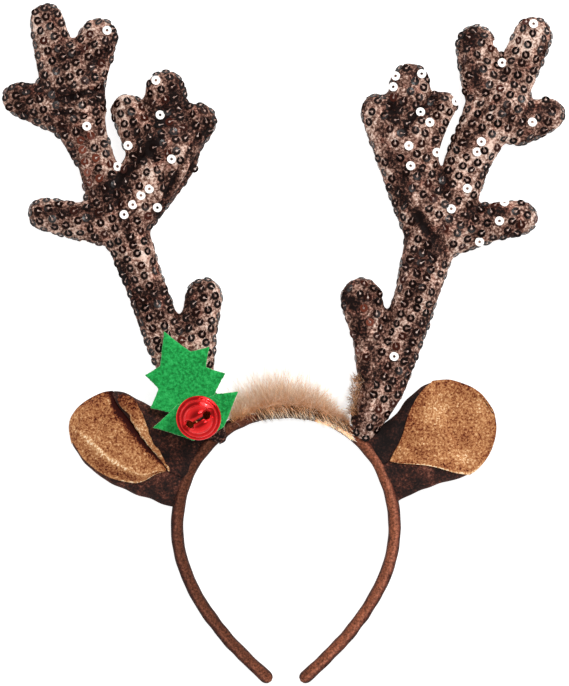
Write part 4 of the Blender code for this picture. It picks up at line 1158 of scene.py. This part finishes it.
def buildBell():
    x, y, angle = slotOutline()
    plan = np.hypot(x, y)
    theta = np.arcsin(plan / bell["radius"])
    lipX, lipY = x / plan * theta, y / plan * theta
    count = len(x)
    share = np.linspace(0.0, 1.0, bell["rows"])[:, None] ** 1.15
    wideX = (1 - share) * lipX + share * math.pi / 2 * np.cos(angle)
    wideY = (1 - share) * lipY + share * math.pi / 2 * np.sin(angle)
    dip = bell["lipDepth"] * np.exp(-(share / 0.10) ** 2)
    front = onBell(wideX, wideY, bellReach(np.hypot(wideX, wideY)) - dip)
    hollow = bell["radius"] - bell["wall"]
    inner = onBell(wideX[::3], wideY[::3], hollow - dip[::3])
    back = np.linspace(math.pi / 2, math.pi, 44)[1:-1, None]
    rear = onBell(back * np.cos(angle), back * np.sin(angle), bellReach(back) * np.ones(count))
    coarse = back[::4]
    innerRear = onBell(coarse * np.cos(angle), coarse * np.sin(angle), np.full((len(coarse), count), hollow))
    rows = np.concatenate([innerRear[::-1], inner[::-1], front, rear])
    insideRows = len(innerRear) + len(inner)
    flat = rows.reshape(-1, 3)
    poles = np.array([(0, 0, -hollow), (0, 0, -bell["radius"])])
    index = np.arange(len(flat)).reshape(len(rows), count)
    quads = gridQuads(len(rows), count, wrap=True)
    caps = np.concatenate([fan(len(flat), index[0], turned=True), fan(len(flat) + 1, index[-1])])
    inside = np.zeros(len(rows))
    inside[:insideRows] = 1.0
    inside = np.repeat(inside, count)
    points = np.concatenate([flat, poles])
    inside = np.concatenate([inside, [1.0, 0.0]])
    steps, sides = 40, 12
    turn = np.linspace(0, 2 * math.pi, steps, endpoint=False)[:, None]
    small = np.linspace(0, 2 * math.pi, sides, endpoint=False)
    reach = bell["loopRadius"] + bell["loopWire"] * np.cos(small)
    loop = np.stack([
        reach * np.cos(turn), bell["loopWire"] * np.sin(small) + 0 * turn,
        reach * np.sin(turn) - bell["radius"] - bell["loopRadius"] + bell["loopWire"] / 2
    ], axis=-1)
    closed = np.concatenate([loop, loop[:1]])
    loopQuads = gridQuads(steps + 1, sides, wrap=True) % (steps * sides)
    start = len(points)
    points = np.concatenate([points, closed[:-1].reshape(-1, 3)])
    inside = np.concatenate([inside, np.zeros(steps * sides)])
    lean, spin = math.radians(bell["lean"]), math.radians(bell["turn"])
    turned = np.stack([
        points[:, 0] * math.cos(spin) - points[:, 1] * math.sin(spin),
        points[:, 0] * math.sin(spin) + points[:, 1] * math.cos(spin), points[:, 2]
    ], axis=-1)
    leaned = np.stack([
        turned[:, 0], turned[:, 1] * math.cos(lean) - turned[:, 2] * math.sin(lean),
        turned[:, 1] * math.sin(lean) + turned[:, 2] * math.cos(lean)
    ], axis=-1)
    low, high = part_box("bell_pellet")
    middle = (np.array(low) + np.array(high)) / 2 + np.array([0, 0, bell["pelletDrop"]])
    piece = makePiece(
        "jingle_bell_shell", leaned + middle, [quads, caps, loopQuads + start], bellPaint(),
        replaced=["jingle_bell"]
    )
    storeValue(piece, "inside", inside)
    steel = Paint("pellet_steel", Metallic=1.0, Roughness=0.35)
    steel.colour(steel.ramp(steel.noise(0.002), (0.3, 0.35), (0.7, 0.55)))
    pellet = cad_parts["bell_pellet"]
    pellet.data.materials.clear()
    pellet.data.materials.append(steel.material)
    print("bell:", len(piece.data.polygons), "faces")


# Fur: fine strands on the crown

fur = {
    "wisps": 5200, "down": 4600, "fringe": 1500, "climbers": 520, "frayed": 150,
    "tall": 0.0345, "short": 0.0150, "radius": 0.00006, "steps": 5, "shortSteps": 4,
    "fringeRadius": 0.00013, "climberRadius": 0.00011, "frayedRadius": 0.00022,
}


def strands(roots, headings, lengths, bend, radius, steps, draw):
    # Each strand is a three-sided needle along a curve that starts in its heading and bends sideways
    share = np.linspace(0, 1, steps + 1)[:-1]
    path = roots[:, None] + (headings * lengths[:, None])[:, None] * share[None, :, None]
    path = path + bend[:, None] * (share ** 2)[None, :, None]
    tip = roots + headings * lengths[:, None] + bend
    side = unit(np.cross(headings, draw.normal(size=headings.shape)))
    other = np.cross(unit(headings), side)
    angle = np.radians([90, 210, 330])
    size = (radius[:, None] * (1 - 0.75 * share))[..., None, None]
    ring = (side[:, None] * np.cos(angle)[:, None] + other[:, None] * np.sin(angle)[:, None])[:, None]
    points = path[:, :, None] + ring * size
    count = len(roots)
    each = steps * 3 + 1
    flat = np.concatenate([points.reshape(count, -1, 3), tip[:, None]], axis=1).reshape(-1, 3)
    flat[:, 2] = np.maximum(flat[:, 2], 0.0003)
    quads = gridQuads(steps, 3, wrap=True)
    last = np.arange(3) + (steps - 1) * 3
    caps = np.stack([np.full(3, steps * 3), last, np.roll(last, -1)], axis=-1)[:, ::-1]
    ends = np.concatenate([caps, [[2, 1, 0]]])
    shift = (np.arange(count) * each)[:, None, None]
    along = np.tile(np.concatenate([np.repeat(share, 3), [1.0]]), count)
    return flat, (quads[:, ::-1][None] + shift).reshape(-1, 4), (ends[None] + shift).reshape(-1, 3), along


def furPaint():
    paint = Paint("beige_fur", Roughness=0.75, Specular_IOR_Level=0.12, Sheen_Weight=0.04)
    tipTone = paint.ramp(
        paint.value("along"), (0.0, tone(226, 152, 98)), (0.40, tone(252, 202, 156)),
        (0.75, tone(255, 232, 206)), (1.0, tone(255, 250, 244))
    )
    dark = paint.ramp(
        paint.value("kind"), (0.0, (1.5, 1.75, 1.9, 1.0)), (0.12, 1.0), (0.5, tone(166, 148, 132)),
        (1.0, tone(62, 46, 40))
    )
    paint.colour(paint.mix(1.0, tipTone, dark, "MULTIPLY"))
    return paint.material


def buildStrandPiece(name, parts, kinds, paint, replaced):
    # Groups of strands as one mesh, with the share of the way along each strand and its kind of colour
    points, quads, ends, alongs, kindValues = [], [], [], [], []
    start = 0
    for (flat, four, three, along), kind in zip(parts, kinds):
        points.append(flat)
        quads.append(four + start)
        ends.append(three + start)
        alongs.append(along)
        kindValues.append(np.repeat(kind, len(flat) // len(kind)))
        start += len(flat)
    piece = makePiece(
        name, np.concatenate(points), [np.concatenate(quads), np.concatenate(ends)], paint,
        replaced=replaced
    )
    storeValue(piece, "along", np.concatenate(alongs))
    storeValue(piece, "kind", np.concatenate(kindValues))
    print(name + ":", len(piece.data.polygons), "faces")


def crownRoots(place, out, height):
    # Roots at shares of the band's half width, moved out from its centre line and up to a height
    roots = bandPoints(place)
    roots[:, 1] += out
    roots[:, 2] = height
    return roots


def leaning(lean, forward):
    # Headings that lean sideways by an angle and come forward a little
    return unit(np.stack([np.sin(lean), np.cos(lean), forward], axis=-1))


def buildFur():
    draw = np.random.default_rng(5)
    paint = furPaint()
    # tall wisps, densest in the middle, with lower ones toward the right
    count = fur["wisps"]
    place = draw.beta(1.4, 1.7, count) * 0.88 - 0.44
    roots = crownRoots(place, draw.uniform(0.000, 0.0045, count), draw.uniform(0.0025, 0.0118, count))
    envelope = np.interp(
        place, (-0.40, -0.25, -0.08, 0.05, 0.22, 0.30, 0.42), (0.75, 0.9, 1.05, 0.85, 0.92, 0.62, 0.40)
    )
    clump = waves(np.stack([place, roots[:, 2] * 12], axis=-1), 0.10, 6)
    lengths = fur["tall"] * envelope * draw.beta(1.6, 2.2, count) * (1 + 0.24 * clump)
    lean = place * 1.0 + 0.26 * waves(place[:, None], 0.13, 7) + draw.normal(scale=0.36, size=count)
    headings = leaning(lean, draw.normal(scale=0.22, size=count))
    bend = draw.normal(scale=0.0038, size=(count, 3))
    parts = [strands(roots, headings, lengths, bend, np.full(count, fur["radius"]), fur["steps"], draw)]
    kinds = [draw.uniform(0.04, 0.30, count)]
    buildStrandPiece("fur_wisps", parts, kinds, paint, ["fur_trim"])
    # short down round the core
    count = fur["down"]
    place = draw.uniform(-0.50, 0.58, count)
    roots = crownRoots(place, draw.uniform(0.001, 0.006, count), draw.uniform(0.002, 0.0122, count))
    envelope = np.interp(place, (-0.50, -0.30, 0.25, 0.46, 0.58), (0.8, 1.0, 0.95, 0.50, 0.36))
    lengths = fur["short"] * envelope * draw.uniform(0.45, 1.0, count)
    lean = draw.normal(scale=0.7, size=count)
    headings = leaning(lean, draw.normal(scale=0.35, size=count))
    bend = draw.normal(scale=0.0028, size=(count, 3))
    radius = np.full(count, fur["radius"] * 1.7)
    parts = [strands(roots, headings, lengths, bend, radius, fur["shortSteps"], draw)]
    kinds = [draw.uniform(0.10, 0.24, count)]
    # slanted hairs over the band's front
    count = fur["fringe"]
    place = draw.uniform(-0.24, 0.50, count) + draw.normal(scale=0.04, size=count)
    roots = crownRoots(place, draw.uniform(0.0005, 0.0042, count), 0.0112 + draw.uniform(0.0, 0.0008, count))
    headings = unit(np.stack([
        draw.normal(0.62, 0.22, count), -np.ones(count), draw.normal(0.0, 0.05, count)
    ], axis=-1))
    lengths = draw.uniform(0.0045, 0.0082, count)
    bend = np.stack([np.zeros(count), np.zeros(count), draw.uniform(-0.0012, 0.0002, count)], axis=-1)
    radius = np.full(count, fur["fringeRadius"])
    parts.append(strands(roots, headings, lengths, bend, radius, fur["shortSteps"], draw))
    kinds.append(draw.choice([0.05, 0.5, 1.0], count, p=[0.34, 0.26, 0.40]))
    # greyish strands that cling to the right antler's side
    count = fur["climbers"]
    rise = draw.uniform(0.0, 1.0, count)
    roots = np.stack([
        0.0385 + 0.0020 * rise + draw.normal(scale=0.0012, size=count), -0.0020 + 0.0220 * rise,
        draw.uniform(0.0110, 0.0215, count)
    ], axis=-1)
    lean = draw.normal(-0.70, 0.60, count)
    headings = leaning(lean, draw.normal(0.1, 0.2, count))
    lengths = draw.uniform(0.0030, 0.0075, count) * (1 - 0.35 * rise)
    bend = draw.normal(scale=0.0009, size=(count, 3))
    radius = np.full(count, fur["climberRadius"])
    parts.append(strands(roots, headings, lengths, bend, radius, fur["shortSteps"], draw))
    kinds.append(draw.choice([0.2, 0.5, 0.9], count, p=[0.30, 0.40, 0.30]))
    # pale frayed ends along the band's inner side at the right, and one pale tuft at the left
    count = fur["frayed"]
    tufted = np.arange(count) % 6 == 0
    place = np.where(tufted, draw.normal(-0.385, 0.015, count), draw.uniform(0.26, 0.60, count))
    tuft = place < 0
    out = np.where(tuft, draw.uniform(0.0030, 0.0050, count), draw.uniform(-0.0032, -0.0010, count))
    roots = crownRoots(place, out, 0.0108 + draw.uniform(0.0, 0.0010, count))
    headings = unit(np.stack([
        np.where(tuft, 0.25, 0.80) + draw.normal(0.0, 0.30, count), np.where(tuft, 1.0, -0.62),
        draw.normal(0.10, 0.10, count)
    ], axis=-1))
    lengths = draw.uniform(0.0025, 0.0050, count)
    bend = draw.normal(scale=0.0004, size=(count, 3))
    radius = np.full(count, fur["frayedRadius"])
    parts.append(strands(roots, headings, lengths, bend, radius, fur["shortSteps"], draw))
    kinds.append(np.zeros(count))
    buildStrandPiece("fur_down", parts, kinds, paint, [])


buildStudio()
buildBand()
antlerPaints = sequinClothPaint(), sequinPaint(), flashPaint(), threadPaint()
buildAntler("left", *antlerPaints)
buildAntler("right", *antlerPaints)
velvetMaterial, plushMaterial = darkVelvetPaint(), plushPaint()
buildEar("left", velvetMaterial, plushMaterial)
buildEar("right", velvetMaterial, plushMaterial)
feltMaterial = feltPaint()
buildLeaf("holly_leaf_upper", 51, feltMaterial)
buildLeaf("holly_leaf_lower", 61, feltMaterial)
buildBell()
buildFur()

bpy.context.view_layer.update()
